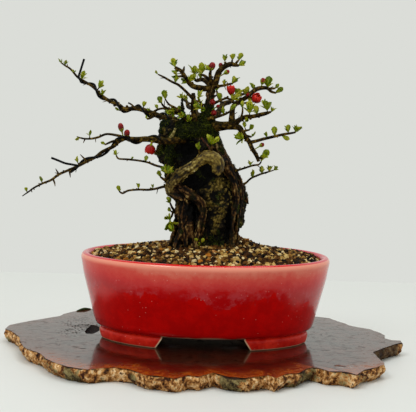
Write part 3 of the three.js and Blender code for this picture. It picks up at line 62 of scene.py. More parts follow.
SLAB_OUTLINE = np.array([
    [-183, 7], [-176, -2], [-169, -18], [-164, -30], [-161, -46], [-157, -62], [-153, -75], [-148, -84],
    [-141, -92], [-136, -99], [-131, -112], [-128, -120], [-119, -134], [-109, -146], [-100, -152],
    [-90, -156], [-79, -149], [-70, -146], [-58, -151], [-50, -162], [-44, -171], [-34, -172], [-21, -180],
    [-11, -167], [-3, -171], [3, -163], [9, -155], [20, -168], [33, -171], [43, -165], [52, -159],
    [58, -168], [67, -152], [76, -149], [85, -130], [90, -124], [98, -131], [102, -138], [112, -137],
    [118, -141], [123, -148], [131, -129], [143, -117], [151, -105], [152, -97], [150, -86], [149, -67],
    [148, -55], [160, -35], [174, -14], [181, -7], [181, 3], [173, 4], [167, 14], [170, 26], [168, 38],
    [160, 58], [150, 66], [143, 74], [139, 85], [132, 99], [126, 114], [112, 122], [96, 129], [78, 138],
    [58, 134], [40, 141], [18, 146], [-4, 139], [-24, 144], [-46, 136], [-68, 141], [-88, 133],
    [-104, 134], [-112, 130], [-120, 131], [-126, 120], [-133, 108], [-139, 97], [-142, 83], [-152, 70],
    [-163, 56], [-173, 42], [-182, 27],
])
SLAB_THICKNESS = 12
SLAB_STEP = 0.9
TOP_INSETS = [140, 100, 70, 46, 30, 20, 13, 8, 4.5, 2.2, 0.9]
BARK_ROWS = 13
BARK_UNDERCUT = 3.6
BURL_SLITS = [[-109, -67.5, 4, 1.8], [-102, -73.5, 4, 1.6], [112.7, -117, 5.5, 1.6]]
KNOT_HOLE = ([[-103, -6, 12, 2], [-102.5, 4, 11.5, 4.2], [-101.5, 16, 11.5, 4.6], [-102, 28, 11.5, 3.6],
              [-104, 38, 12, 1.2]], 1.45)
LEFT_CRACK = ([[-114, -61, 12, 0.4], [-109, -67, 11.7, 1.2], [-104, -73, 11.8, 1],
               [-97, -78, 12, 0.4]], 1.3)
RIGHT_CRACK = ([[108, -118, 12, 0.4], [113, -117, 11.7, 1], [119, -115.5, 12, 0.4]], 1.3)

# Settings that a node of these kinds has here unless its call names another.
USUAL_SETTINGS = {"Math": {"operation": "MULTIPLY"}, "Mix": {"data_type": "RGBA"},
                  "MapRange": {"interpolation_type": "SMOOTHSTEP"}}


def linear(colour):
    """Turns a hex sRGB colour into linear red, green, blue and alpha."""
    channels = [int(colour[i:i + 2], 16) / 255 for i in (1, 3, 5)]
    return (*(c / 12.92 if c <= 0.04045 else ((c + 0.055) / 1.055) ** 2.4 for c in channels), 1)


def pitch(millimetres):
    """Texture scale that gives a pattern of this size on Object coordinates."""
    return 1 / (millimetres * MM)


def add_node(tree, kind, *values, stops=(), **named):
    """Adds a node, a shader node by its short kind. Values feed its open inputs in order, a name with a
    capital feeds the input of that name, and other names are settings. A value is a number, a hex colour,
    a socket, or a node by its first output."""
    node = tree.nodes.new(kind if "Node" in kind else "ShaderNode" + kind)
    for name, value in {**USUAL_SETTINGS.get(kind, {}), **named}.items():
        if name[0].islower():
            setattr(node, name, value)
    if stops:
        elements = node.color_ramp.elements
        elements.remove(elements[1])
        elements[0].position, elements[0].color = stops[0][0], linear(stops[0][1])
        for position, colour in stops[1:]:
            elements.new(position).color = linear(colour)
    sockets = [socket for socket in node.inputs if socket.enabled]
    by_name = {socket.name: socket for socket in reversed(sockets)}
    pairs = list(zip(sockets, values))
    pairs += [(by_name[name.replace("_", " ")], value)
              for name, value in named.items() if name[0].isupper()]
    for socket, value in pairs:
        if str(value).startswith("#"):
            value = linear(value)
        if isinstance(value, bpy.types.Node):
            value = next(output for output in value.outputs if output.enabled)
        if isinstance(value, bpy.types.NodeSocket):
            tree.links.new(value, socket)
        else:
            socket.default_value = value
    return node


def start_material(name):
    """New material with an empty tree, the call that adds a node to it, and its Object coordinates."""
    material = bpy.data.materials.new(name)
    material.use_nodes = True
    material.node_tree.nodes.clear()
    add = functools.partial(add_node, material.node_tree)
    return (material, add, add("TexCoord").outputs["Object"])


def wandering(add, value, pattern, reach):
    """Node for a value that a pattern shifts by up to half this reach to either side."""
    return add("Math", add("Math", pattern, 0.5, operation="SUBTRACT"), reach, value,
               operation="MULTIPLY_ADD")


def lumps(points, size, octaves=2, seed=0):
    """Lumps of about this size in mm, from about -1 to 1, at each point."""
    shift = Vector((17.3, 5.1, 9.7)) * seed
    return np.array([noise.fractal(Vector(p) / size + shift, 0.9, 2.0, octaves) for p in points])


def resampled(stops, step, closed=False):
    """Even steps along a path, with all the columns of its stops carried along."""
    path = np.vstack([stops, stops[:1]]) if closed else np.asarray(stops, float)
    reach = np.concatenate([[0], np.cumsum(np.linalg.norm(np.diff(path[:, :3], axis=0), axis=1))])
    count = max(2, round(reach[-1] / step))
    at = np.linspace(0, reach[-1], count, endpoint=not closed)
    return np.column_stack([np.interp(at, reach, column) for column in path.T])


def ring_faces(count, rows):
    """Quads between closed rings of equal size, facing outwards where the rings run out, down and in."""
    faces = []
    for row in range(rows - 1):
        for step in range(count):
            after = (step + 1) % count
            low, high = row * count, (row + 1) * count
            faces.append((low + step, high + step, high + after, low + after))
    return faces


def end_faces(count, total):
    """The first and the last ring of a body, each closed by one face."""
    return [tuple(range(count)), tuple(reversed(range(total - count, total)))]


def linked(name, data):
    """New object in the scene with this data."""
    item = bpy.data.objects.new(name, data)
    bpy.context.scene.collection.objects.link(item)
    return item


def store(mesh, **values):
    """Stores a number for each point of a mesh under each name."""
    for name, numbers in values.items():
        column = mesh.attributes.new(name, "FLOAT", "POINT")
        column.data.foreach_set("value", np.asarray(numbers, np.float32))


def new_piece(name, points, faces, smooth_below=180, **values):
    """Mesh object from points in mm, with an attribute for each named list of values."""
    mesh = bpy.data.meshes.new(name)
    mesh.from_pydata((np.asarray(points, float) * MM).tolist(), [], faces)
    store(mesh, **values)
    mesh.shade_smooth()
    if smooth_below < 180:
        mesh.set_sharp_from_angle(angle=math.radians(smooth_below))
    return linked(name, mesh)


def settled(piece, name=None):
    """Replaces a piece by the plain mesh that its modifiers make of it."""
    evaluated = piece.evaluated_get(bpy.context.evaluated_depsgraph_get())
    result = linked(name or piece.name + "_done", bpy.data.meshes.new_from_object(evaluated))
    bpy.data.objects.remove(piece)
    return result


def coat(piece, material):
    """Gives the whole piece one material."""
    piece.data.materials.clear()
    piece.data.materials.append(material)


def fit(piece, slot, *nodes):
    """The piece belongs to the object and stands for these CAD nodes, which it hides; the slot is not used.
    """
    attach(piece, "root")
    if nodes:
        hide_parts(*nodes)


def slab_mesh():
    """The slab in rings of points: nested over its top, then down its rough bark to the underside."""
    rim = resampled(SLAB_OUTLINE, SLAB_STEP, closed=True)
    count = len(rim)
    reach = np.linalg.norm(rim, axis=1)[:, None]
    outward = rim / reach
    flat = np.column_stack([rim, np.zeros(count)])
    edge_wear = 0.5 + 0.5 * lumps(flat, 5.5, 3, seed=1)
    rows, heights, insets = [], [], []
    for inset in TOP_INSETS:
        depth = np.minimum(inset + edge_wear * (inset < 5), 0.93 * reach[:, 0])
        rows.append(rim - outward * depth[:, None])
        heights.append(np.full(count, SLAB_THICKNESS))
        insets.append(np.full(count, inset))
    for row in range(BARK_ROWS):
        down = row / (BARK_ROWS - 1)
        place = np.column_stack([rim, np.full(count, SLAB_THICKNESS * (1 - down))])
        creases = np.exp(-(lumps(place, 9, 2, seed=2) / 0.06) ** 2)
        plates = 1.2 * lumps(place, 6.5, 2, seed=3) + 1.1 * lumps(place, 2.6, 2, seed=4)
        crumbs = 0.6 * lumps(place, 1.3, 2, seed=5)
        swell = min(1, 0.35 + 2.5 * down)
        bulge = 1.3 * math.sin(math.pi * min(1, down * 1.3))
        depth = 1.9 + BARK_UNDERCUT * down ** 3 - bulge - swell * (plates + crumbs) + 1.1 * creases
        depth = np.maximum(depth, 0.05 + edge_wear * (row == 0))
        rows.append(rim - outward * depth[:, None])
        heights.append(np.full(count, SLAB_THICKNESS * (1 - down) - 0.25 * (row == 0)))
        insets.append(-1 - depth)
    points = np.column_stack([np.vstack(rows), np.concatenate(heights)])
    centre, foot = len(points), len(points) + 1
    points = np.vstack([points, [[0, 0, SLAB_THICKNESS], [0, 0, 0]]])
    faces = ring_faces(count, len(rows))
    last = count * (len(rows) - 1)
    faces += [(centre, step, (step + 1) % count) for step in range(count)]
    faces += [(foot, last + (step + 1) % count, last + step) for step in range(count)]
    piece = new_piece("burl_slab_top_and_bark", points, faces, 40,
                      inset=[*np.concatenate(insets), 150, -1])
    bark_start = count * (len(TOP_INSETS) - 1)
    bark_end = count * (len(rows) - 1)
    for face in piece.data.polygons[bark_start:bark_end]:
        face.material_index = 1
    return piece


def opening_cutter(route, stretch):
    """Lumpy body along a route of [x, y, z, radius] that cuts a crack or hole into the top."""
    path = resampled(route, 0.8)
    sides, points = 12, []
    for x, y, z, radius in path:
        for side in range(sides):
            turn = 2 * math.pi * side / sides
            points.append((x + radius * math.cos(turn) * stretch, y, z + radius * math.sin(turn)))
    points = np.array(points)
    points += (lumps(points, 2.3, 2, seed=6) * 0.35)[:, None] * (1, 0.3, 0)
    faces = ring_faces(sides, len(path)) + end_faces(sides, len(points))
    cutter = new_piece("cutter", points, faces)
    for face in cutter.data.polygons:
        face.material_index = 2
    return cutter


def cut_with(piece, cutter):
    """Takes a cutter's body out of a piece."""
    modifier = piece.modifiers.new("cut", "BOOLEAN")
    modifier.object = cutter
    modifier.solver = "EXACT"
    name = piece.name
    piece.name = name + "_uncut"
    result = settled(piece, name)
    bpy.data.objects.remove(cutter)
    return result


def varnished_burl():
    """Gloss varnish over burl figure: near black to red brown swirls, amber sapwood along the front."""
    material, add, place = start_material("varnished_burl_wood")
    warp = add("TexNoise", place, Scale=pitch(38), Detail=3)
    shifted = add("VectorMath", warp.outputs["Color"], (0.06, 0.06, 0.06), place, operation="MULTIPLY_ADD")
    figure = add("TexNoise", shifted, Scale=pitch(16), Detail=8, Roughness=0.62, Distortion=1.8)
    drawn_out = add("VectorMath", shifted, (0.4, 1, 1), operation="MULTIPLY")
    grain = add("TexNoise", drawn_out, Scale=pitch(4.5), Detail=6, Roughness=0.65, Distortion=0.5)
    wood = add("ValToRGB", figure,
               stops=[(0.3, "#0b0200"), (0.45, "#220702"), (0.56, "#3c1003"), (0.68, "#511c06"),
                      (0.8, "#150501")])
    fine = add("Mix", add("MapRange", grain, 0.5, 0.68, To_Max=0.6), wood, "#0f0401")
    inset = add("Attribute", attribute_name="inset").outputs["Fac"]
    in_front = add("MapRange", add("SeparateXYZ", place).outputs["Y"], -0.06, -0.145)
    near_edge = add("MapRange", wandering(add, inset, figure, 60), 30, 2)
    sap = add("Math", near_edge, add("Math", in_front, 0.8, 0.12, operation="MULTIPLY_ADD"))
    amber = add("ValToRGB", grain,
                stops=[(0.3, "#4a1a03"), (0.46, "#7a3706"), (0.6, "#a0540c"), (0.75, "#6a2c06")])
    colour = add("Mix", sap, fine, amber)
    lengthwise = add("VectorMath", place, (1, 0.4, 1), operation="MULTIPLY")
    pits = add("TexVoronoi", lengthwise, Scale=pitch(2.6))
    from_hole = add("VectorMath", lengthwise, (-0.118, 0.0096, 0.012), operation="DISTANCE")
    near_hole = add("MapRange", wandering(add, from_hole.outputs["Value"], warp, 0.03), 0.026, 0.008)
    pit = add("Math", add("MapRange", pits, 0.42, 0.2), near_hole)
    pitted = add("Mix", pit, colour, "#0c0502")
    slits = 0
    for x, y, half_length, half_width in BURL_SLITS:
        from_slit = add("VectorMath", place, (x * MM, y * MM, 0.012), operation="SUBTRACT")
        squeezed = add("VectorMath", from_slit, (1 / (half_length * MM), 1 / (half_width * MM), 1),
                       operation="MULTIPLY")
        away = add("VectorMath", squeezed, operation="LENGTH").outputs["Value"]
        torn = add("MapRange", wandering(add, away, grain, 1), 1, 0.6)
        slits = add("Math", slits, torn, operation="MAXIMUM")
    split = add("Mix", slits, pitted, "#0a0402")
    open_grain = add("MapRange", grain, 0.52, 0.64, To_Max=0.42)
    gloss = add("Math", add("Math", 0.92, open_grain, operation="SUBTRACT"),
                add("Math", 1, add("Math", pit, slits, operation="MAXIMUM"), operation="SUBTRACT",
                    use_clamp=True), use_clamp=True)
    ripple = add("TexNoise", place, Scale=pitch(9), Detail=2)
    height = add("Math", ripple, add("Math", pit, 1.5), operation="SUBTRACT")
    varnish = add("Bump", Strength=0.15, Distance=0.0006, Height=height)
    add("OutputMaterial",
        add("BsdfPrincipled", Base_Color=split, Roughness=0.55, Specular_IOR_Level=0.05, Coat_Weight=gloss,
            Coat_Roughness=0.09, Coat_IOR=1.42, Coat_Tint="#fdeeda", Coat_Normal=varnish))
    return material


def rough_bark():
    """Dry corky bark: cream, tan and weathered olive plates, painted shade in creases, dark in the right
    notch.
    """
    material, add, place = start_material("burl_bark")
    patches = add("TexNoise", place, Scale=pitch(5.5), Detail=6, Roughness=0.72)
    plates = add("ValToRGB", patches,
                 stops=[(0.34, "#120803"), (0.41, "#4c270d"), (0.47, "#9a622c"), (0.54, "#d8a262"),
                        (0.62, "#fbdcae"), (0.72, "#b06c2a")])
    regions = add("TexNoise", place, Scale=pitch(22), Detail=4, Roughness=0.65)
    weathered = add("Mix", add("MapRange", patches, 0.4, 0.62), "#1d180b", "#857a4c")
    lichened = add("Mix", add("MapRange", regions, 0.51, 0.57, To_Max=0.9), plates, weathered)
    spots = add("TexNoise", place, Scale=pitch(9), Detail=3)
    spotted = add("Mix", add("MapRange", spots, 0.62, 0.68), lichened, "#3c1606")
    relief = add("Attribute", attribute_name="inset").outputs["Fac"]
    # Painted shade: the deeper the bark is set back, in its creases and under its lower edge, the darker it
    # is.
    crease_shade = add("MapRange", relief, -4.8, -7.6)
    crease_shaded = add("Mix", add("Math", crease_shade, 0.75), spotted, "#1a0f07")
    point = add("SeparateXYZ", place).outputs
    in_notch = add("Math", add("MapRange", point["Y"], -0.06, -0.055, interpolation_type="LINEAR"),
                   add("MapRange", point["X"], 0.144, 0.15, interpolation_type="LINEAR"))
    notched = add("Mix",
                  add("Math", in_notch,
                      add("MapRange", point["X"], 0.178, 0.174, To_Max=0.85, interpolation_type="LINEAR")),
                  crease_shaded, "#241509")
    under_varnish = add("MapRange", wandering(add, point["Z"], regions, 0.008), 0.0106, 0.0116)
    fringe = add("Mix", under_varnish, notched, "#2a1408")
    crumbs = add("TexNoise", place, Scale=pitch(1.3), Detail=3)
    grit = add("Bump", Strength=0.9, Distance=0.0009, Height=crumbs)
    speckled = add("Mix", add("MapRange", crumbs, 0.56, 0.7, To_Max=0.7), fringe, "#2e1a0c")
    add("OutputMaterial",
        add("BsdfPrincipled", Base_Color=speckled, Roughness=0.7, Specular_IOR_Level=0.2, Normal=grit))
    return material


def hollow_wood():
    """Decayed wood inside the hole and the cracks: nearly black, with a few dull brown crumbs."""
    material, add, place = start_material("decayed_wood")
    crumbs = add("TexNoise", place, Scale=pitch(2), Detail=4)
    colour = add("ValToRGB", crumbs, stops=[(0.45, "#060403"), (0.7, "#2b1b10")])
    grit = add("Bump", Strength=0.9, Distance=0.001, Height=crumbs)
    add("OutputMaterial", add("BsdfPrincipled", Base_Color=colour, Roughness=0.9, Normal=grit))
    return material


slab = slab_mesh()
for material in (varnished_burl(), rough_bark(), hollow_wood()):
    slab.data.materials.append(material)
for opening in (KNOT_HOLE, LEFT_CRACK, RIGHT_CRACK):
    slab = cut_with(slab, opening_cutter(*opening))
fit(slab, "burl_wood", "burl_slab")

# Pot: stoneware turned as a round, pressed oval, cut away at the foot on four sides and dipped in a thick
# red glaze that runs milky over the upper half. The profile is [half length, height above the slab].
POT_INSIDE = [[80, 16], [88, 17.2], [92.4, 20], [95.4, 28], [99, 42], [102.6, 60], [104, 69]]
POT_LIP = [[104.7, 73], [106.4, 75], [108.6, 75.4], [110.6, 74.5], [111.8, 72.4], [112, 70.4]]
POT_OUTSIDE = [[111.2, 66], [109.2, 55], [106.6, 45], [104.2, 36], [101.4, 25], [98.9, 15.4], [97.6, 12.4],
               [95.8, 10.9], [93.4, 10.2]]
FOOT_OUTSIDE = [[93.2, 11], [93.8, 9.6], [95, 8.6], [95.4, 6.5], [95.2, 3.4], [94.6, 0.8], [93.9, 0.1]]
FOOT_INSIDE = [[85.2, 0], [84.4, 0.5], [83.4, 11]]
OVAL_DIFFERENCE = 22.5
POT_SIDES = 192
FRONT_GAP = (35, 41)
SIDE_GAP = (14, 20)
FLOOR_TOP = 16
FLOOR_UNDERSIDE = 10.2
FOOT_HEIGHT = 9.5
FOOT_STEPS = 46
DRAIN_HOLES = (-45, 45)
DRAIN_HOLE_RADIUS = 7
DRAIN_HOLE_SIDES = 40


def half_width(half_length):
    """Every ring of the pot is an oval whose half width follows from its half length."""
    return half_length - OVAL_DIFFERENCE * min(1, half_length / 60)


def rounded(stops, step):
    """Even steps along a curve through the stops, which passes through each of them."""
    stops = np.array(stops, float)
    padded = np.vstack([2 * stops[0] - stops[1], stops, 2 * stops[-1] - stops[-2]])
    curve = []
    for before, start, end, after in zip(padded, padded[1:], padded[2:], padded[3:]):
        for t in np.linspace(0, 1, 12, endpoint=False):
            squared = 2 * before - 5 * start + 4 * end - after
            cubed = 3 * start - before - 3 * end + after
            curve.append(0.5 * (2 * start + (end - before) * t + squared * t ** 2 + cubed * t ** 3))
    return resampled(np.vstack([curve, stops[-1]]), step)


def angles(count):
    """This many even angles round a full turn."""
    return np.linspace(0, 2 * math.pi, count, endpoint=False)


def pot_body():
    """The pot's floor and wall in rings of points, from the inside over the lip to the underside."""
    profile = np.vstack([[[40, FLOOR_TOP]], rounded(POT_INSIDE + POT_LIP + POT_OUTSIDE, 1.3),
                         [[84, FLOOR_UNDERSIDE], [40, FLOOR_UNDERSIDE]]])
    turns = angles(POT_SIDES)
    rings = [np.column_stack([a * np.cos(turns), half_width(a) * np.sin(turns), np.full(POT_SIDES, z)])
             for a, z in profile]
    points = np.vstack(rings)
    wander = lumps(points, 55, 2, seed=7)[:, None]
    away = points * (1, 1, 0) / np.maximum(np.linalg.norm(points[:, :2], axis=1)[:, None], 1)
    points = points + away * wander * 0.35 * (points[:, 2:] > 17) + (0, 0, SLAB_THICKNESS)
    count = len(points)
    points = np.vstack([points, [[0, 0, SLAB_THICKNESS + FLOOR_TOP],
                                 [0, 0, SLAB_THICKNESS + FLOOR_UNDERSIDE]]])
    faces = ring_faces(POT_SIDES, len(rings))
    last = POT_SIDES * (len(rings) - 1)
    for step in range(POT_SIDES):
        after = (step + 1) % POT_SIDES
        faces += [(count, step, after), (count + 1, last + after, last + step)]
    in_gap = (np.abs(points[:, 0]) < FRONT_GAP[0] + 1) | (np.abs(points[:, 1]) < SIDE_GAP[0] + 1)
    height = points[:, 2] - SLAB_THICKNESS
    chipped = 0.55 + 0.45 * lumps(points, 16, 2, seed=8)
    bare = np.clip(1.6 * chipped - np.abs(height - 11.1) / 0.8, 0, 1) * in_gap + (height < 10.3)
    lip = int(np.argmax(profile[:, 1])) + 2
    inside = np.zeros(len(points))
    inside[:POT_SIDES * (lip + 1)] = 1
    return new_piece("pot_wall", points, faces, bare=np.clip(bare, 0, 1), inside=inside)


def foot(side_x, side_y):
    """One of the four feet: the foot's section swept round the oval between two slanting cuts."""
    section = np.vstack([rounded(FOOT_OUTSIDE, 0.7), rounded(FOOT_INSIDE, 1.6)])
    ends = 0.5 - 0.5 * np.cos(np.linspace(0, math.pi, FOOT_STEPS))
    points, bare = [], []
    for share in ends:
        for a, z in section:
            slope = min(1, z / FOOT_HEIGHT)
            front_cut = FRONT_GAP[1] + (FRONT_GAP[0] - FRONT_GAP[1]) * slope
            side_cut = SIDE_GAP[1] + (SIDE_GAP[0] - SIDE_GAP[1]) * slope
            first = math.asin(side_cut / half_width(a))
            last = math.acos(front_cut / a)
            turn = first + (last - first) * share
            x, y = a * math.cos(turn), half_width(a) * math.sin(turn)
            points.append((side_x * x, side_y * y, z + SLAB_THICKNESS))
            from_cut = min(abs(x - front_cut), abs(y - side_cut))
            bare.append(min(1, max(1.5 - from_cut / 0.9, 1.4 - z / 0.8, 0)))
    faces = end_faces(len(section), len(points)) + ring_faces(len(section), FOOT_STEPS)
    if side_x * side_y < 0:
        faces = [tuple(reversed(face)) for face in faces]
    return new_piece(f"foot_{side_x}_{side_y}", points, faces, 50, bare=bare)


def joined(pieces, name):
    """Makes one mesh of several pieces."""
    with bpy.context.temp_override(active_object=pieces[0], selected_editable_objects=pieces):
        bpy.ops.object.join()
    pieces[0].name = name
    return pieces[0]


def red_glaze():
    """Glossy red glaze: deep where thick, milky pink where thin, bare where wiped off. The pale lip, its
    pink ends and the pale specks are partly glaze and partly painted highlight, reflection and glints.
    """
    material, add, place = start_material("red_stoneware_glaze")
    point = add("SeparateXYZ", place).outputs
    height = point["Z"]
    stretched = add("VectorMath", place, (1, 1, 0.4), operation="MULTIPLY")
    waves = add("TexNoise", stretched, Scale=pitch(30), Detail=5, Roughness=0.6)
    drips = add("TexNoise", place, Scale=pitch(5), Detail=4, Roughness=0.65)
    runs = wandering(add, wandering(add, height, waves, 0.05), drips, 0.009)
    milky = add("MapRange", runs, 0.0568, 0.0588)
    cloud = add("TexNoise", place, Scale=pitch(13), Detail=7, Roughness=0.72)
    rise = wandering(add, height, cloud, 0.018)
    thick = add("MapRange", point["X"], -0.045, -0.1, To_Max=0.24)
    upper = add("ValToRGB", add("Math", add("MapRange", rise, 0.054, 0.0874), thick, operation="SUBTRACT"),
                stops=[(0, "#ba0208"), (0.25, "#c40c10"), (0.5, "#d0241e"), (0.75, "#d94636"),
                       (1, "#e47e66")])
    veil = add("MapRange", cloud, 0.48, 0.68, To_Max=0.5)
    low_edge = add("MapRange", rise, 0.078, 0.058)
    veiled = add("Mix", add("Math", veil, low_edge), upper, "#c65a62")
    lower = add("Mix", add("MapRange", cloud, 0.4, 0.65), "#ba0000", "#ce0200")
    body = add("Mix", milky, lower, veiled)
    # Partly thin glaze on the edge and partly a painted highlight: the lip's top turns pale pink.
    lip = add("Mix", add("MapRange", height, 0.081, 0.085), body, "#ea9078")
    inside = add("Attribute", attribute_name="inside").outputs["Fac"]
    # The lip's red inner slope turns pink towards both ends, partly a painted reflection of the pale
    # surround.
    sideways = add("Math", point["X"], operation="ABSOLUTE")
    top_glaze = add("Mix", add("MapRange", sideways, 0.06, 0.1), "#d00006", "#c8404a")
    inner = add("Mix", add("MapRange", height, 0.0838, 0.0848), "#cc6666", top_glaze)
    rim = add("Mix", add("MapRange", inside, 0.3, 0.7), lip, inner)
    foot_band = add("MapRange", height, 0.0224, 0.0212)
    footed = add("Mix", foot_band, rim,
                 add("Mix", add("MapRange", cloud, 0.3, 0.75), "#b60a04", "#ea3422"))
    # Pale specks: partly pinholes in the glaze and partly painted glints.
    specks = add("TexVoronoi", place, Scale=pitch(2.6))
    crowded = add("TexNoise", place, Scale=pitch(24), Detail=1)
    chance = add("SeparateXYZ", specks.outputs["Color"]).outputs["X"]
    chosen = add("MapRange", add("Math", crowded, 0.7, chance, operation="MULTIPLY_ADD"), 1.2, 1.26)
    speck = add("Math", add("MapRange", specks, 0.2, 0.08), chosen)
    specked = add("Mix", add("Math", speck, 0.35), footed, "#f0c4bc")
    bare = add("Attribute", attribute_name="bare").outputs["Fac"]
    clay = add("Mix", bare, specked, "#e2c6a0")
    skin = add("Bump", Strength=0.3, Distance=0.0003, Height=drips)
    add("OutputMaterial",
        add("BsdfPrincipled", Base_Color=clay,
            Roughness=add("MapRange", Value=bare, To_Min=0.16, To_Max=0.8, interpolation_type="LINEAR"),
            Specular_IOR_Level=add("MapRange", Value=foot_band, To_Min=0.36, To_Max=0.12,
                                   interpolation_type="LINEAR"), Normal=skin))
    return material


def drain_drill(x):
    """Round bar that cuts a drain hole through the floor."""
    sides = DRAIN_HOLE_SIDES
    points = [(x + DRAIN_HOLE_RADIUS * math.cos(turn), DRAIN_HOLE_RADIUS * math.sin(turn), z)
              for z in (SLAB_THICKNESS + FLOOR_TOP + 7, SLAB_THICKNESS + FLOOR_UNDERSIDE - 7)
              for turn in angles(sides)]
    return new_piece("drain_hole", points, ring_faces(sides, 2) + end_faces(sides, len(points)))


wall = pot_body()
for x in DRAIN_HOLES:
    wall = cut_with(wall, drain_drill(x))
glazed_pot = joined([wall, *(foot(x, y) for x in (1, -1) for y in (1, -1))], "glazed_oval_pot")
coat(glazed_pot, red_glaze())
fit(glazed_pot, "red_glaze", "pot")

# Drain meshes: squares of black polyethylene netting that lie over the two drain holes under the soil.
# The moulded polyethylene is dull black with a faint waxy sheen and a little silt on it.
def mottled(name, size, detail, edges, low, high, **finish):
    """Plain material in two tones, with patches of this size in mm that blend between the two edges."""
    material, add, place = start_material(name)
    patches = add("TexNoise", place, Scale=pitch(size), Detail=detail)
    colour = add("Mix", add("MapRange", patches, *edges), low, high)
    add("OutputMaterial", add("BsdfPrincipled", Base_Color=colour, **finish))
    return material


netting = mottled("black_polyethylene_netting", 2, 3, (0.5, 0.75), "#161616", "#3a3128", Roughness=0.55,
                  IOR=1.51)
for node in ("drain_mesh_left", "drain_mesh_right"):
    coat(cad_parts[node], netting)

# Rock: a dark craggy lava stone that the quince grows over. It is damp, with moss and tan lichen on the
# raised parts, and it stands on the soil with its foot sunk in. Its hollows and low crevices are painted
# near black as shade.
# Hollows and crusts of lichen are [x, z, half width, half height] on its front, in mm.
ROCK_VOXEL = 0.85
HOLLOWS = [[-18, 181, 11.5, 13], [-1, 163, 6, 11], [-13, 128, 7.5, 9], [-10, 153, 9, 6], [20, 118, 3, 14]]
HOLLOW_DEPTH = 4
SHOULDER_HEIGHTS = (164, 190)
SHOULDER_REACH = 12
SHOULDER_SLOPE = 8
CRUSTS = [[15, 152, 11, 8], [2, 133, 6.5, 8], [11, 124, 9, 11], [14, 139, 8, 6], [-2, 153, 6, 4]]


def remeshed(source, voxel, name):
    """Even mesh over the outside of a closed body."""
    modifier = source.modifiers.new("even", "REMESH")
    modifier.mode = "VOXEL"
    modifier.voxel_size = voxel * MM
    return settled(source, name)


def points_of(mesh):
    """The points of a mesh and their normals, in mm."""
    places = np.empty(len(mesh.vertices) * 3)
    normals = np.empty(len(mesh.vertices) * 3)
    mesh.vertices.foreach_get("co", places)
    mesh.vertex_normals.foreach_get("vector", normals)
    return places.reshape(-1, 3) / MM, normals.reshape(-1, 3)


def move_points(mesh, points, **values):
    """Puts the points of a mesh at new places in mm and stores named values on them."""
    mesh.vertices.foreach_set("co", (points * MM).ravel())
    store(mesh, **values)
    mesh.update()
    mesh.shade_smooth()


def smoothed(mesh, rounds):
    """Softens the facets of a coarse body by pulling each point towards its neighbours' mean."""
    edges = np.empty(len(mesh.edges) * 2, np.int64)
    mesh.edges.foreach_get("vertices", edges)
    starts, ends = edges.reshape(-1, 2).T
    points, _ = points_of(mesh)
    counts = np.bincount(np.concatenate([starts, ends]), minlength=len(points))[:, None]
    for _ in range(rounds):
        total = np.zeros_like(points)
        np.add.at(total, starts, points[ends])
        np.add.at(total, ends, points[starts])
        points = points + 0.6 * (total / np.maximum(counts, 1) - points)
    mesh.vertices.foreach_set("co", (points * MM).ravel())
    mesh.update()


def copy_of_node(node, name):
    """Loose copy of a CAD node's mesh with its doubled points merged."""
    copy = linked(name + "_source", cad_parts[node].data.copy())
    weld = copy.modifiers.new("weld", "WELD")
    weld.merge_threshold = 0.01 * MM
    return copy


def patches_on_front(points, patches):
    """How far each point lies inside any of the front's patches, from 0 outside to 1 in the middle."""
    share = np.zeros(len(points))
    for x, z, half_width, half_height in patches:
        away = np.hypot((points[:, 0] - x) / half_width, (points[:, 2] - z) / half_height)
        share = np.maximum(share, np.clip(1.35 - away, 0, 1) * (points[:, 1] < -4))
    return share * share * (3 - 2 * share)


def craggy_rock():
    """The rock with crags and hollows, and how mossy, crusted and high each point is and how far in a
    shaded hollow.
    """
    rock = remeshed(copy_of_node("rock", "rock"), ROCK_VOXEL, "mossy_lava_rock")
    smoothed(rock.data, 6)
    points, normals = points_of(rock.data)
    hollow = patches_on_front(points, HOLLOWS)
    boulders = lumps(points, 9, 3, seed=11)
    crags = np.abs(lumps(points, 5.2, 3, seed=12))
    pores = lumps(points, 1.9, 2, seed=13)
    shift = 1.4 * boulders + 2.8 * (crags - 0.3) + 0.8 * pores
    moss = np.clip(0.45 + 1.4 * lumps(points, 13, 3, seed=14) + 0.5 * normals[:, 2] - 1.2 * hollow, 0, 1)
    crusted = patches_on_front(points, CRUSTS)
    lichen = np.clip(1.5 * lumps(points, 8.5, 3, seed=15) + 1.1 * crusted - 0.3, 0, 1) * (1 - hollow)
    height = (shift - shift.min()) / np.ptp(shift)
    points = points + normals * (shift - HOLLOW_DEPTH * hollow)[:, None]
    right, up = points[:, 0], points[:, 2]
    points[:, 0] -= (SHOULDER_SLOPE * np.interp(up, SHOULDER_HEIGHTS, (0, 1))
                     * np.clip(right / SHOULDER_REACH, 0, 1))
    move_points(rock.data, points, moss=moss, lichen=lichen, height=height, hollow=hollow)
    return rock


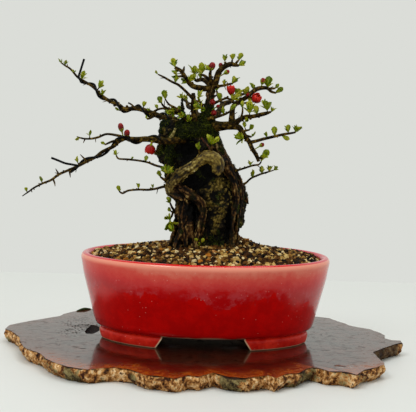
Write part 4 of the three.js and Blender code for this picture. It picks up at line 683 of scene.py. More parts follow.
def damp_lava():
    """Damp vesicular lava: charcoal stone, bottle green moss film, tan and olive lichen crusts, painted
    shade.
    """
    material, add, place = start_material("damp_mossy_lava")
    moss, lichen, height, hollow = (add("Attribute", attribute_name=name).outputs["Fac"]
                                    for name in ("moss", "lichen", "height", "hollow"))
    rise = add("SeparateXYZ", place).outputs["Z"]
    fine = add("TexNoise", place, Scale=pitch(2.2), Detail=5, Roughness=0.72)
    stone = add("ValToRGB", fine, stops=[(0.38, "#040302"), (0.55, "#1d1608"), (0.7, "#463816")])
    olive = add("ValToRGB", fine, stops=[(0.36, "#040700"), (0.52, "#1d2703"), (0.7, "#525c0c")])
    bottle = add("ValToRGB", fine, stops=[(0.36, "#010603"), (0.55, "#071a0d"), (0.72, "#1d3b20")])
    film = add("Mix", add("MapRange", rise, 0.184, 0.192), olive, bottle)
    mossy = add("Mix", add("MapRange", add("Math", fine, 0.4, moss, operation="MULTIPLY_ADD"), 0.5, 0.9),
                stone, film)
    crust = add("ValToRGB", fine,
                stops=[(0.36, "#120d03"), (0.46, "#40340f"), (0.56, "#736024"), (0.68, "#a48c50")])
    patched = add("Mix", add("MapRange", wandering(add, lichen, fine, 0.9), 0.08, 0.6), mossy, crust)
    # Painted shade: the low crevices between the crags and the hollows darken to near black.
    shade = add("Math", add("MapRange", height, 0.3, 0.52),
                add("Math", hollow, -2.2, 1, operation="MULTIPLY_ADD", use_clamp=True))
    shaded = add("Mix", shade, "#030201", patched)
    grit = add("Bump", Strength=1, Distance=0.0011, Height=fine)
    add("OutputMaterial",
        add("BsdfPrincipled", Base_Color=shaded, Roughness=0.7, Specular_IOR_Level=0.12, Normal=grit))
    return material


rock = craggy_rock()
coat(rock, damp_lava())
fit(rock, "mossy_rock", "rock")

# Trunk and roots: old flowering quince whose roots were trained over the rock and fused to it. One root
# loops out in front, rubbed pale, and the others hang as brown fibrous strands down into the soil.
# Stops are [x, y, z, radius] in mm. The loop and its arm are pale, the saddle over the rock is mossy.
ROOT_ROUTES = [
    # trunk, from the mossy saddle on top of the rock up to where the leader and the left limb part
    [[-10, 2, 190, 15], [-6, -3, 198, 12.5], [-3, -3, 206, 9], [-1, -2, 215, 5.3], [0, -1, 224, 3.8],
     [0.5, 0, 231, 3.4], [1.5, 0, 237, 3.2], [3, 0, 239.5, 2.7]],
    # saddle to the left over the rock, then down beside the hollow to the left knee
    [[-4, -8, 198, 9], [-14, -11, 197, 9], [-24, -13, 195, 8], [-31, -15, 188, 5.5], [-34, -17, 178, 4],
     [-35, -19, 167, 4], [-33, -22, 157, 4.5], [-30, -24, 148, 5]],
    # looped root in front, from its blunt right end over the top and down to the left knee and the soil
    [[7, -31, 161.5, 4], [8.6, -32, 166, 5.6], [7.8, -33, 171.5, 6], [3, -33, 175.4, 6.1],
     [-2.8, -32, 175.6, 5.7], [-7.5, -32, 172, 4.9], [-12.8, -32, 167.6, 4.5], [-20.5, -31, 162.5, 5],
     [-27.5, -28, 156, 5.9], [-31.5, -25, 149, 5.7], [-30.5, -24, 143.5, 4.9], [-25.5, -25, 140.2, 4.4],
     [-20.5, -26, 137, 4.2], [-18.2, -26, 131.5, 3.8], [-18.8, -26, 125, 3.4], [-21, -27, 116, 3.1],
     [-24, -29, 104, 3], [-26, -30, 92, 2.8], [-27, -29, 80, 2.2]],
    # bridge behind the loop's right end, back to the strand on the right
    [[8, -31, 169, 4.2], [11, -25, 171, 4.6], [14, -16, 172, 5]],
    # second root, out of the left knee to the middle
    [[-25, -28, 148, 4.3], [-17, -30, 143.5, 4.4], [-11, -31, 140, 4.2], [-5.5, -31, 135, 3.4],
     [-3.5, -31, 127, 3], [-5, -31, 116, 2.7], [-8, -31, 105, 2.5], [-10, -32, 92, 2.4], [-10, -31, 80, 2]],
    # strands on the right, from the trunk's shoulder down the rock
    [[-4, -5, 200, 9.5], [0, -7, 192, 8.2], [5, -9, 184, 7], [10, -10, 176, 6.4], [15, -11, 169, 6.2],
     [20, -11, 162, 5.8], [24.5, -11, 155, 5.3], [28, -11, 147, 3.8], [29.5, -13, 138, 3],
     [28, -16, 129, 2.4], [27.5, -18, 118, 2.2], [26, -18, 106, 2.5], [26, -15, 94, 2.4],
     [26, -13, 80, 2.2]],
    [[6, -13, 186, 5.5], [11, -17, 176, 5], [16.5, -20, 167, 4.6], [22, -22, 157, 3.5], [25, -23.5, 147, 3],
     [25.6, -23.5, 137, 2.7], [23.8, -23.5, 127, 2.4], [22.4, -23.5, 117, 2.2], [22.4, -23.5, 106, 2.2],
     [24, -25, 92, 2.4], [24, -25, 80, 2.1]],
    [[20, -8, 162, 3.6], [26.5, -8, 155, 3.3], [31, -8, 147, 2.8], [33.7, -7, 140.5, 2.1],
     [35.6, -6, 136, 1.5], [37.2, -6, 133, 0.8]],
    # fine roots below the left knee
    [[-27, -24, 143, 3.8], [-25, -21, 134, 2.9], [-25.7, -21, 122, 2.7], [-27.4, -22, 111, 2.6],
     [-29.7, -21, 100, 2.5], [-33, -20, 90, 2.2]],
    [[-20.5, -26, 137, 3], [-21.5, -26, 128, 2.7], [-22.5, -27, 117, 2.4], [-19, -29, 107, 2.2],
     [-17, -31, 94, 2.1], [-17, -30, 82, 1.8]],
    # roots down the back
    [[-8, 6, 199, 10], [-2, 17, 188, 7.5], [2, 23, 174, 6], [-1, 26, 157, 5.2], [5, 27, 138, 4.4],
     [10, 27, 118, 3.6], [11, 27, 98, 2.9], [14, 27, 80, 2.4]],
    [[2, 23, 176, 4.8], [-8, 25, 162, 4.6], [-16, 26, 142, 3.9], [-15, 26.5, 119, 3.2], [-17, 28, 97, 2.7],
     [-19, 27, 80, 2.2]],
    [[0, 6, 196, 7.6], [8, 10, 182, 6], [17, 15, 165, 5], [24.5, 17, 145, 4], [25, 18, 122, 3.2],
     [22, 20, 100, 2.6], [22, 20, 82, 2.2]],
    [[-16, 10, 197, 7], [-26, 15, 186, 5], [-31, 17, 168, 4.4], [-28, 18, 146, 3.8], [-25, 19, 122, 3.1],
     [-24, 20, 99, 2.6], [-25, 20, 82, 2.2]],
    # dry stub at the upper left and a short spur on the trunk
    [[-19, -4, 202, 3.2], [-23, -3, 211, 1.8], [-24.5, -3, 219, 1.7], [-24.5, -3, 224, 1.4],
     [-25, -3, 227, 1]],
    [[1, 0, 227, 1.6], [6, -4, 230, 0.8], [10, -6, 232.5, 0.4]],
]
PALE_ROUTE = 2
MOSSY_ROUTE = 1
BACK_ROUTE = 12
FINE_ROOTS = 22
ROOT_VOXEL = 0.85
SADDLE_MIDDLE = (-12, -4, 200)
SADDLE_SIZE = (19, 13, 9.5)
KNOT = (9, -37, 167)
KNOT_RADIUS = 2.2
STATION_STEP = 0.8
Station = namedtuple("Station", "point side other along radius route pale mossy")


def start_tree(name, **inputs):
    """New geometry node tree with inputs of these kinds, the call that adds a node, and the inputs."""
    tree = bpy.data.node_groups.new(name, "GeometryNodeTree")
    for key, kind in {"Geometry": "Geometry", **inputs}.items():
        tree.interface.new_socket(key.replace("_", " "), in_out="INPUT", socket_type="NodeSocket" + kind)
    tree.interface.new_socket("Geometry", in_out="OUTPUT", socket_type="NodeSocketGeometry")
    return tree, functools.partial(add_node, tree), tree.nodes.new("NodeGroupInput").outputs


def tube_tree():
    """Node tree that winds a rough tube round each line of a mesh, as thick as its radius attribute."""
    tree, add, source = start_tree("rough_tube", Step="Float", Sides="Int", Relief="Float",
                                   Relief_Scale="Float", Material="Material")
    lines = add("GeometryNodeMeshToCurve", Mesh=source["Geometry"])
    curves = add("GeometryNodeCurveSplineType", spline_type="CATMULL_ROM", Curve=lines)
    fine = add("GeometryNodeSetSplineResolution", Geometry=curves, Resolution=10)
    stops = add("GeometryNodeResampleCurve", mode="LENGTH", Curve=fine, Length=source["Step"])
    radius = add("GeometryNodeInputNamedAttribute", data_type="FLOAT", Name="radius")
    circle = add("GeometryNodeCurvePrimitiveCircle", Resolution=source["Sides"], Radius=1.0)
    tube = add("GeometryNodeCurveToMesh", Curve=stops, Profile_Curve=circle, Scale=radius, Fill_Caps=True)
    place = add("GeometryNodeInputPosition")
    rough = add("TexNoise", place, Scale=source["Relief Scale"], Detail=2.0)
    centred = add("Math", rough, 0.5, operation="SUBTRACT")
    depth = add("Math", add("Math", centred, source["Relief"]), radius)
    outward = add("VectorMath", add("GeometryNodeInputNormal"), operation="SCALE", Scale=depth)
    barked = add("GeometryNodeSetPosition", Geometry=tube, Offset=outward)
    smooth = add("GeometryNodeSetShadeSmooth", Geometry=barked)
    finished = add("GeometryNodeSetMaterial",
                   Geometry=add("GeometryNodeRealizeInstances", Geometry=smooth),
                   Material=source["Material"])
    add("NodeGroupOutput", Geometry=finished)
    return tree


def grown(name, source, tree, **settings):
    """Runs a node tree on a source piece and keeps the plain mesh that it makes."""
    modifier = source.modifiers.new("grow", "NODES")
    modifier.node_group = tree
    sockets = {item.name: item.identifier for item in tree.interface.items_tree if item.in_out == "INPUT"}
    for key, value in settings.items():
        modifier[sockets[key.replace("_", " ")]] = value
    return settled(source, name)


def lines_piece(name, routes, loose=()):
    """Mesh of open lines through the stops of each route and of loose points, with their radius."""
    stops = [stop for route in routes for stop in route] + [[*point, 0] for point in loose]
    edges, start = [], 0
    for route in routes:
        edges += [(start + i, start + i + 1) for i in range(len(route) - 1)]
        start += len(route)
    mesh = bpy.data.meshes.new(name)
    points = np.array(stops, float) * MM
    mesh.from_pydata(points[:, :3].tolist(), edges, [])
    store(mesh, radius=points[:, 3])
    return linked(name, mesh)


def frames_along(points):
    """Direction and two square sides at each stop, turned as little as possible from stop to stop."""
    frames, side, before = [], None, None
    for index, point in enumerate(points):
        ahead = (points[min(index + 1, len(points) - 1)] - point).normalized()
        behind = (point - points[max(index - 1, 0)]).normalized()
        direction = (ahead + behind).normalized()
        if side is None:
            upright = Vector((1, 0, 0)) if abs(direction.z) > 0.9 else Vector((0, 0, 1))
            side = upright.cross(direction).normalized()
        else:
            side = before.rotation_difference(direction) @ side
        before = direction
        frames.append((direction, side, direction.cross(side)))
    return frames


def root_stations():
    """Stations along every root, each with the two sides square to it and how pale or mossy it is."""
    stations = []
    for number, route in enumerate(ROOT_ROUTES):
        stops = resampled(route, STATION_STEP)
        points = [Vector(stop[:3]) for stop in stops]
        for index, (point, (_, side, other)) in enumerate(zip(points, frames_along(points))):
            darker_arm = 0.5 * min(1, max(0, (-8 - point.x) / 10))
            pale = (number == PALE_ROUTE) * min(1, max(0, (point.z - 136) / 12)) * (1 - darker_arm)
            mossy = number == MOSSY_ROUTE and point.z > 152 or number == BACK_ROUTE and point.z < 160
            stations.append(Station(point, side, other, index * STATION_STEP, stops[index][3], number,
                                    pale, mossy))
    return stations


def bark_on_roots(roots):
    """Fibres along each root, lumps on the loop, and how ridged, pale, mossy and shaded each point is."""
    smoothed(roots.data, 3)
    points, normals = points_of(roots.data)
    stations = root_stations()
    tree = kdtree.KDTree(len(stations))
    for index, station in enumerate(stations):
        tree.insert(station.point, index)
    tree.balance()
    fibre, depth, pale, overgrown = (np.zeros(len(points)) for _ in range(4))
    for index, point in enumerate(points):
        near = [stations[number] for _, number, _ in tree.find_n(Vector(point), 5)]
        closest = near[0]
        away = Vector(point) - closest.point
        turn = math.atan2(away.dot(closest.other), away.dot(closest.side))
        ring = max(1.2, closest.radius / 1.5)
        strand = Vector((ring * math.cos(turn) + closest.route * 7, ring * math.sin(turn),
                         closest.along / 10))
        fibre[index] = noise.fractal(strand, 0.9, 2.0, 4)
        depth[index] = min(1, closest.radius / 3)
        pale[index] = sum(station.pale for station in near) / len(near)
        overgrown[index] = sum(station.mossy for station in near) / len(near)
    rubbed = 1 - 0.7 * pale * np.clip((points[:, 0] + 12) / 10, 0, 1)
    knots = lumps(points, 4.2, 3, seed=21) * rubbed
    flecks = lumps(points, 1.7, 3, seed=24) * rubbed
    hollow = patches_on_front(points, HOLLOWS) * (1 - pale)
    mossy = np.clip((points[:, 2] - 176) / 26, 0, 1) * np.clip((226 - points[:, 2]) / 18 + 0.25, 0, 1)
    mossy = 1.25 * mossy + 0.8 * overgrown + 0.7 * lumps(points, 7, 3, seed=22) - 1.2 * hollow
    mossy = np.clip(mossy, 0, 1) * (1 - pale)
    ridge = fibre * (1 - 0.7 * pale)
    crumbly = lumps(points, 2.4, 2, seed=23)
    shift = depth * (1.2 * ridge + 0.8 * knots + 0.3 * flecks) + 0.9 * mossy * crumbly
    # The knot at the loop's end is sunk into a pit and painted dark as shade, as the hollows are.
    from_knot = np.linalg.norm(points - KNOT, axis=1) / KNOT_RADIUS
    knot = np.clip(1.6 - from_knot, 0, 1)
    move_points(roots.data, points + normals * (shift - 0.8 * knot)[:, None],
                ridge=0.5 + 0.5 * ridge + (0.17 + 0.11 * pale) * (knots + flecks), pale=pale,
                moss=mossy, hollow=np.maximum(hollow, 0.8 * knot))


def quince_bark():
    """Old quince bark: dark brown fibres with light crests, a worn pale olive loop, moss on top, painted
    shade.
    """
    material, add, place = start_material("old_quince_bark")
    ridge, pale, moss, hollow = (add("Attribute", attribute_name=name).outputs["Fac"]
                                 for name in ("ridge", "pale", "moss", "hollow"))
    fine = add("TexNoise", place, Scale=pitch(1.8), Detail=5, Roughness=0.72)
    blotches = add("TexNoise", place, Scale=pitch(8), Detail=3)
    raised = wandering(add, ridge, fine, 0.6)
    brown = add("ValToRGB", raised,
                stops=[(0.36, "#030201"), (0.5, "#1a0e04"), (0.62, "#3e260e"), (0.75, "#644622"),
                       (0.92, "#96804c")])
    worn = add("ValToRGB", raised,
               stops=[(0.28, "#0c0701"), (0.42, "#3a2908"), (0.54, "#705c20"), (0.68, "#a08d44"),
                      (0.88, "#d8cb98")])
    aged = add("Mix", add("MapRange", blotches, 0.5, 0.65, To_Max=0.6), brown, "#1c1b05")
    wood = add("Mix", add("MapRange", pale, 0.2, 0.8), aged, worn)
    film = add("ValToRGB", fine, stops=[(0.38, "#020300"), (0.55, "#141a02"), (0.74, "#474d0a")])
    mossy = add("Mix", add("MapRange", add("Math", fine, 0.5, moss, operation="MULTIPLY_ADD"), 0.5, 0.95),
                wood, film)
    # Painted shade: the hollows and the knot's pit darken to near black.
    lit = add("Math", hollow, -1.5, 1, operation="MULTIPLY_ADD", use_clamp=True)
    shaded = add("Mix", lit, "#030201", mossy)
    gloss = add("MapRange", Value=pale, To_Min=0.6, To_Max=0.42, interpolation_type="LINEAR")
    shine = add("MapRange", Value=pale, To_Min=0.08, To_Max=0.22, interpolation_type="LINEAR")
    grit = add("Bump", Strength=0.8, Distance=0.0008, Height=fine)
    add("OutputMaterial",
        add("BsdfPrincipled", Base_Color=shaded, Roughness=gloss, Specular_IOR_Level=shine, Normal=grit))
    return material


def fine_roots():
    """Matted fine roots below the left knee, which wander down from the thick ones into the soil."""
    draw = random.Random(51)
    routes = []
    for number in range(FINE_ROOTS):
        share = number / (FINE_ROOTS - 1)
        x, top = -26 + 26 * share + draw.uniform(-1.5, 1.5), draw.uniform(118, 138) - 10 * abs(share - 0.4)
        heights = np.linspace(top, 82, 9)
        shifts = np.cumsum([0] + [draw.uniform(-1.7, 1.7) for _ in heights[1:]])
        y = -24.5 - 2.2 * math.sin(math.pi * share) + draw.uniform(-1.5, 1)
        thick = draw.uniform(0.8, 1.5)
        routes.append([[x + shift - 0.03 * (top - z), y - 0.05 * (top - z), z, thick]
                       for shift, z in zip(shifts, heights)])
    return routes


def saddle_body():
    """Lumpy ball of fused wood over the top of the rock, where all the roots part."""
    rings, sides = 18, 30
    shell = [(math.cos(rise) * math.cos(turn), math.cos(rise) * math.sin(turn), math.sin(rise))
             for rise in np.linspace(-1.45, 1.45, rings) for turn in angles(sides)]
    shell = np.array(shell) * SADDLE_SIZE + SADDLE_MIDDLE
    faces = [tuple(reversed(face)) for face in ring_faces(sides, rings) + end_faces(sides, len(shell))]
    return new_piece("saddle", shell + (1.4 * lumps(shell, 6, 2, seed=24))[:, None], faces)


rough_tube = tube_tree()
root_bark = quince_bark()
root_tubes = grown("root_tubes", lines_piece("root_lines", ROOT_ROUTES + fine_roots()), rough_tube,
                   Step=1.2 * MM, Sides=16, Relief=0.25, Relief_Scale=pitch(8), Material=root_bark)
roots = remeshed(joined([root_tubes, saddle_body()], "roots_source"), ROOT_VOXEL,
                 "trunk_and_trained_roots")
bark_on_roots(roots)
coat(roots, root_bark)
fit(roots, "quince_bark", "trunk_and_roots")

# Branches and shoots: live quince twigs, crooked and almost black, each with spurs and rosettes of young
# leaves. Every leafy stem grows out of the trunk or out of a thicker limb, and is given as its limbs, of
# stops [x, y, z, radius], and its tufts, of [x, y, z, number of leaves, leaf length], all in mm.
BRANCHES = {
    "branch_upper_left": (
        [[[-18, -5, 201, 3.6], [-26, -2, 204, 3], [-34, 0, 208, 2.6], [-42, 2, 209, 2.3],
          [-52.5, 4, 212.5, 2.1], [-64.5, 7, 216, 1.9], [-77, 10, 215.5, 1.7], [-83, 12, 219, 1.6],
          [-92.5, 14, 223, 1.4], [-99.5, 16, 228, 1.2], [-106.5, 18, 234.5, 1.1], [-115, 20, 239.5, 1],
          [-121, 21, 243, 0.9], [-127.5, 22, 250, 0.8], [-132.5, 23, 253, 0.7], [-137, 24, 256, 0.5]],
         [[-48, 3, 211, 1.2], [-53, 1, 208, 1], [-55.5, 0, 207, 0.7]],
         [[-71, 8, 216, 1.2], [-80.5, 9, 214, 0.9]],
         [[-67, 7, 216, 0.9], [-70.5, 6, 219.5, 0.7], [-73.5, 6, 221, 0.6]],
         [[-51.5, 4, 212.5, 1.1], [-46, 3, 216, 0.9], [-39, 1, 217, 0.9], [-35, 0, 216, 0.6]]],
        [[-59, 5, 220, 3, 5], [-55, 0, 214.5, 2, 4], [-57, 2, 207.5, 2, 4], [-136, 24, 256, 2, 4],
         [-132, 22, 255.5, 2, 4.5], [-125, 20, 247, 2, 4.5], [-116, 20, 244, 3, 6], [-99, 16, 236, 3, 6.5],
         [-97, 13, 229, 3, 6], [-83, 8, 213.5, 2, 4], [-48, 3, 218, 2, 4]]),
    "twig_back_left_low": (
        [[[-19, -7, 201, 1.9], [-26.5, -6, 212, 1.4], [-34, -6, 215.5, 1.1], [-40.5, -6, 218.5, 0.9],
          [-43, -7, 221.5, 0.7]]],
        [[-44.5, -7, 223, 4, 6], [-33, -9, 212, 3, 6]]),
    "twig_back_left_high": (
        [[[-16, -12, 202, 1.8], [-22, -11, 209, 1.4], [-27, -11, 215, 1.1], [-31, -11, 218, 0.9],
          [-36, -12, 220.5, 0.8], [-39.5, -12, 225, 0.6]]],
        [[-40, -12, 226.5, 3, 5.5], [-24, -15, 209, 3, 5], [-18, -18, 207, 3, 5]]),
    "branch_lower_left": (
        [[[-22, -14, 190, 3.4], [-32, -20, 189, 2.9], [-41, -16, 188, 2.5], [-49, -14, 189, 2.3],
          [-55.5, -16, 189.5, 2.2], [-62, -18, 189, 2.1], [-69, -20, 189, 2.1], [-73.5, -22, 190, 1.9],
          [-79.5, -24, 186.5, 1.5], [-83.5, -25, 182.5, 1.4], [-93, -27, 177.5, 1.3],
          [-98.5, -28, 173, 1.2], [-106, -29, 169, 1.2], [-113, -30, 165, 1.1], [-121.5, -31, 161, 1],
          [-130, -32, 157, 1], [-136.5, -33, 152, 0.9], [-143.5, -34, 149, 0.8], [-151, -35, 145, 0.7],
          [-155.5, -36, 141.5, 0.6], [-161, -37, 137.5, 0.35]],
         [[-73.5, -22, 190, 1.4], [-80, -22, 192, 1.1], [-90, -21, 193, 0.9], [-97.5, -20, 190, 0.9],
          [-104, -20, 188.5, 0.8], [-111, -19, 188.5, 0.7], [-116.5, -19, 190, 0.4]],
         [[-77, -23, 188.5, 1], [-84, -26, 187, 0.9], [-90.5, -28, 184, 0.7]],
         [[-130, -32, 157, 0.8], [-131.5, -32, 159.5, 0.6], [-133, -32, 162, 0.2]],
         [[-135, -33, 153, 0.8], [-133.5, -33, 149.5, 0.6], [-133, -33, 146.5, 0.2]],
         [[-121, -31, 161, 0.8], [-120.5, -31, 157.5, 0.6], [-120, -31, 154.5, 0.2]],
         [[-106, -29, 169, 0.8], [-109, -30, 172, 0.6], [-112, -31, 175, 0.2]],
         [[-109, -19, 188.5, 0.7], [-110.5, -20, 184.5, 0.2]]],
        [[-115, -20, 187, 2, 4], [-105, -20, 193, 2, 5], [-158, -37, 143, 2, 4], [-115, -30, 169.5, 2, 4.5],
         [-92, -28, 184, 2, 4], [-145.5, -34, 152, 2, 4]]),
    "shoot_left_high": (
        [[[-31, -20, 164, 1.4], [-38, -24, 165, 1], [-46, -28, 167, 0.9], [-52.5, -31, 169.5, 0.8],
          [-60, -34, 171, 0.8], [-69.5, -37, 172, 0.8], [-77.5, -39, 172.5, 0.7], [-79.5, -40, 175, 0.6]]],
        [[-80.5, -40, 176.5, 3, 4.5], [-54.5, -31, 172.5, 2, 4.5], [-66, -36, 173.5, 2, 3.5]]),
    "shoot_left_low": (
        [[[-31, -24, 149, 1.5], [-38, -26, 148.5, 1.1], [-45.5, -28, 146.5, 0.9], [-52, -29, 145.5, 0.9],
          [-59.5, -30, 145.5, 0.8], [-69, -31, 144.5, 0.8], [-74, -31, 142, 0.8], [-77, -31, 143.5, 0.6]]],
        [[-78, -31, 145.5, 3, 4.5], [-60.5, -31, 149, 2, 4.5], [-48, -30, 148.5, 2, 3.5]]),
    "shoot_knee": (
        [[[-32, -24, 151, 1.4], [-38, -26, 154.5, 1.1], [-41.5, -27, 157, 0.7]],
         [[-37.6, -25.9, 154.2, 1.1], [-35.5, -29, 157, 1], [-34.5, -32, 160, 0.8]]],
        [[-42.5, -27, 158.5, 3, 5.5], [-34, -33, 161, 4, 6.5], [-38, -31, 162, 3, 6]]),
    "shoot_left_foot": (
        [[[-24, -21, 125, 1.5], [-29.6, -23, 128.5, 1], [-32.5, -24, 134, 0.7]],
         [[-29.2, -22.8, 128.3, 0.9], [-30.6, -25, 123, 0.8], [-32, -27, 120.5, 0.6]],
         [[-24, -21, 124, 1.2], [-31.5, -23, 126.5, 0.7]]],
        [[-33.5, -24, 135.5, 3, 4.5], [-32.5, -24, 126.5, 2, 4], [-32.5, -27, 121, 3, 5],
         [-32, -28, 115, 4, 6.5]]),
    "branch_inner_left": (
        [[[-9, -8, 198, 3.4], [-13, -12, 206, 2.5], [-14, -12, 213, 2.1], [-15, -12, 219, 1.9],
          [-14.5, -12, 225.5, 1.8], [-15, -11, 231, 1.5]],
         [[-14.5, -12, 225.5, 1.4], [-20.5, -15, 231.5, 1.1], [-27.5, -18, 237.5, 1],
          [-34, -20, 240.5, 0.9], [-40.5, -22, 244, 0.8], [-46, -24, 246.5, 0.5]],
         [[-13.5, -12, 224.5, 1], [-9, -14, 223.5, 0.8], [-7, -15, 221, 0.8], [-6, -15, 217, 0.7]],
         [[-14.5, -12, 222, 0.9], [-17, -14, 222, 0.8], [-21, -16, 220.5, 0.6]]],
        [[-9.5, -15, 229.5, 3, 5], [-10.5, -17, 217, 4, 6], [-46.5, -24, 247, 2, 4],
         [-6, -16, 215.5, 2, 4.5], [-30, -20, 242, 2, 4.5]]),
    "branch_top_left": (
        [[[1.5, 0, 236.5, 2.9], [-5, -3, 235.5, 2.4], [-9.5, -6, 236, 2.3], [-13, -8, 236.5, 2.1],
          [-16.5, -10, 238, 2], [-20.5, -11, 242, 1.8], [-23.5, -12, 246.5, 1.7], [-26, -13, 250, 1.5],
          [-29, -14, 252, 1.3], [-31.5, -14, 253.5, 1]],
         [[-25, -12, 248.5, 1.3], [-24, -10, 251.5, 1], [-23.5, -9, 254.5, 0.4]],
         [[-23, -12, 246, 1.1], [-26.5, -14, 245.5, 0.9], [-29.5, -15, 245.5, 0.6]]],
        [[-32.5, -14, 255.5, 3, 5.5], [-29.5, -13, 248.5, 2, 4.5], [-30, -16, 243.5, 3, 5],
         [-17, -12, 243, 3, 6.5], [-22.5, -14, 238.5, 2, 5]]),
    "twig_top_left": (
        [[[1, 1, 238, 2.2], [-5.5, 4, 243, 1.8], [-9, 6, 243.5, 1.6], [-12.5, 7, 242.5, 1.3],
          [-14.5, 7, 244.5, 1], [-14.5, 7, 248, 0.7]]],
        [[-14.5, 7, 249, 5, 6], [-9, 8, 246.5, 2, 4.5]]),
    "twig_apex": (
        [[[1.5, -1, 238, 2.1], [0.5, -3, 243, 1.6], [-0.5, -4, 248, 1.3], [0, -4, 251.5, 1]],
         [[0.5, -3, 242, 1.6], [-3, -6, 245, 1.3], [-6, -8, 247, 1.1], [-9.5, -9, 248, 0.5]]],
        [[-7.5, -10, 250.5, 3, 7], [-2.5, -5, 252, 3, 5]]),
    "leader": (
        [[[2, 0, 238, 3.2], [4.5, 0, 241.5, 2.8], [6, 1, 247, 2.5], [7.5, 2, 251, 2.3], [12, 3, 255.5, 2.1],
          [17.5, 4, 258, 1.9], [21, 5, 257.5, 1.6], [25, 6, 257, 1]],
         [[13.5, 3, 256, 1.2], [12.5, 3, 260, 1]],
         [[21.5, 5, 257.5, 1.1], [23.5, 6, 260.5, 0.9], [25, 6, 262, 0.7]],
         [[18.5, 4, 257.5, 1], [19, 4, 262, 0.7]]],
        [[25.5, 6, 263, 4, 6], [19.5, 4, 263.5, 3, 5.5], [27, 7, 256.5, 3, 5], [12.5, 3, 261, 2, 4.5],
         [10, 6, 251, 2, 5]]),
    "twig_top_right": (
        [[[2.5, -1, 237, 2], [8, -4, 238, 1.2], [13.5, -7, 239, 1], [17, -9, 240, 0.9],
          [19.5, -10, 240.5, 0.8]]],
        [[21, -10, 242, 5, 5], [12, -7, 241, 2, 4.5]]),
    "twig_mid_right": (
        [[[1, -3, 221.5, 1.6], [7.5, -8, 224.5, 1], [10.5, -10, 226, 0.9], [14.5, -12, 227.5, 0.9],
          [16, -13, 229, 0.8]], [[14, -12, 227.5, 0.9], [19, -14, 226.5, 0.7]]],
        [[20.5, -14, 226.5, 3, 5.5], [9, -9, 228, 2, 4.5]]),
    "branch_right": (
        [[[-2, -6, 201, 5.5], [4.5, -6, 202, 4.8], [10.5, -8, 202.5, 3.8], [17, -10, 203.5, 3.3],
          [22.5, -11, 205.5, 2.8], [26.5, -13, 208.5, 2], [32, -15, 211.5, 1.7], [38, -16, 212, 1.6],
          [44, -17, 213.5, 1.7], [49.5, -18, 215, 1.5], [54, -18, 216.5, 0.8]],
         [[27.5, -13, 209.5, 1], [29, -14, 215, 0.8], [29, -14, 219.5, 0.6]]],
        [[49.5, -18, 221, 3, 7.5], [35, -16, 218, 5, 6.5], [41, -18, 216.5, 3, 5.5], [55, -18, 217, 2, 4],
         [29, -14, 221, 2, 4.5], [32, -18, 207, 2, 4.5]]),
    "branch_right_low": (
        [[[17, -9, 203, 3.2], [26, -12, 202, 2.4], [29.5, -14, 197.5, 2.1], [33, -16, 193, 1.9],
          [36, -17, 189, 1.8], [38, -18, 184.5, 1.7], [41, -19, 180, 1.6], [43, -19.5, 176.5, 1.5],
          [44.5, -20, 172.5, 1.2]], [[32, -15, 195, 1.1], [37.5, -16, 194, 0.8]],
         [[29.5, -14, 198, 1.1], [33, -15, 199.5, 0.9], [35.5, -16, 200, 0.7]],
         [[43, -19.5, 176, 1], [48, -20, 175.5, 0.7]]],
        [[49.5, -20, 176.5, 4, 5.5], [28, -18, 190.5, 5, 6.5], [36.5, -16, 200.5, 3, 4.5],
         [31, -14, 203.5, 2, 4.5], [38.5, -16, 194.5, 2, 3.5]]),
    "shoot_right_long": (
        [[[36, -17, 189, 1.6], [41.5, -21, 190.5, 1.3], [47.5, -24, 192.5, 1.2], [56.5, -28, 195, 1.1],
          [65.5, -32, 197.5, 1], [71, -34, 198.5, 0.9], [75, -35, 199.5, 0.7]]],
        [[76.5, -36, 201, 4, 5.5], [57, -28, 198.5, 2, 5], [68.5, -33, 201.5, 2, 5],
         [64.5, -31, 194, 2, 4.5], [50, -26, 196, 2, 4]]),
    "branch_right_high": (
        [[[20, -9, 203.5, 3], [20, -8, 212, 2.3], [20.5, -7, 219, 2], [23.5, -6, 223, 1.9],
          [27.5, -4, 225.5, 1.8], [32, -2, 228.5, 1.8], [36.5, 0, 232.5, 1.8], [41, 2, 236, 1.8],
          [45.5, 3, 237.5, 1.7], [51, 4, 237.5, 1.4], [55, 5, 234.5, 1.1], [59, 6, 233.5, 0.8]],
         [[52, 4, 237, 1.1], [58, 2, 237.5, 0.8]], [[24.5, -6, 223.5, 1], [23.5, -6, 228.5, 0.8]],
         [[33, -2, 229, 1.1], [37, -6, 228.5, 0.9], [41, -9, 227.5, 0.8]]],
        [[60.5, 6, 233.5, 3, 5], [59.5, 2, 238, 2, 4], [52, 4, 241.5, 4, 6.5], [25, -5, 231, 4, 6],
         [38, 2, 237.5, 2, 5], [31, -5, 232.5, 2, 4.5]]),
    "twig_right_cross": (
        [[[-3, -9, 208, 1.8], [4, -13, 210, 1.3], [10, -16, 212, 1.1], [15, -18, 214, 0.9],
          [19, -19, 217, 0.7]]],
        [[20, -20, 218.5, 3, 5], [12, -18, 214.5, 2, 5]]),
    "shoot_right_mid": (
        [[[22, -12, 163, 1.5], [27.5, -15, 164.5, 0.9], [33.5, -14, 166.5, 0.8], [39.5, -12, 168.5, 0.8],
          [45, -11, 169.5, 0.7], [47, -11, 172, 0.6]]],
        [[47.5, -11, 173.5, 2, 4], [37, -13, 170, 2, 4]]),
    "shoot_right_low": (
        [[[29, -4, 149.5, 1.4], [34.5, 2, 152, 0.9], [39, 6, 156, 0.8], [47, 10, 159.5, 0.8],
          [53.5, 13, 161.5, 0.7], [60, 16, 163.5, 0.4]]],
        [[40.5, 6, 158.5, 2, 5], [48.5, 10, 162.5, 2, 4.5], [55.5, 14, 164, 2, 4.5],
         [60.5, 16, 164, 2, 4]]),
    "shoot_front": (
        [[[3, -32, 177, 1.3], [2.5, -35, 183.5, 0.7], [2.5, -35.5, 187, 0.6]]],
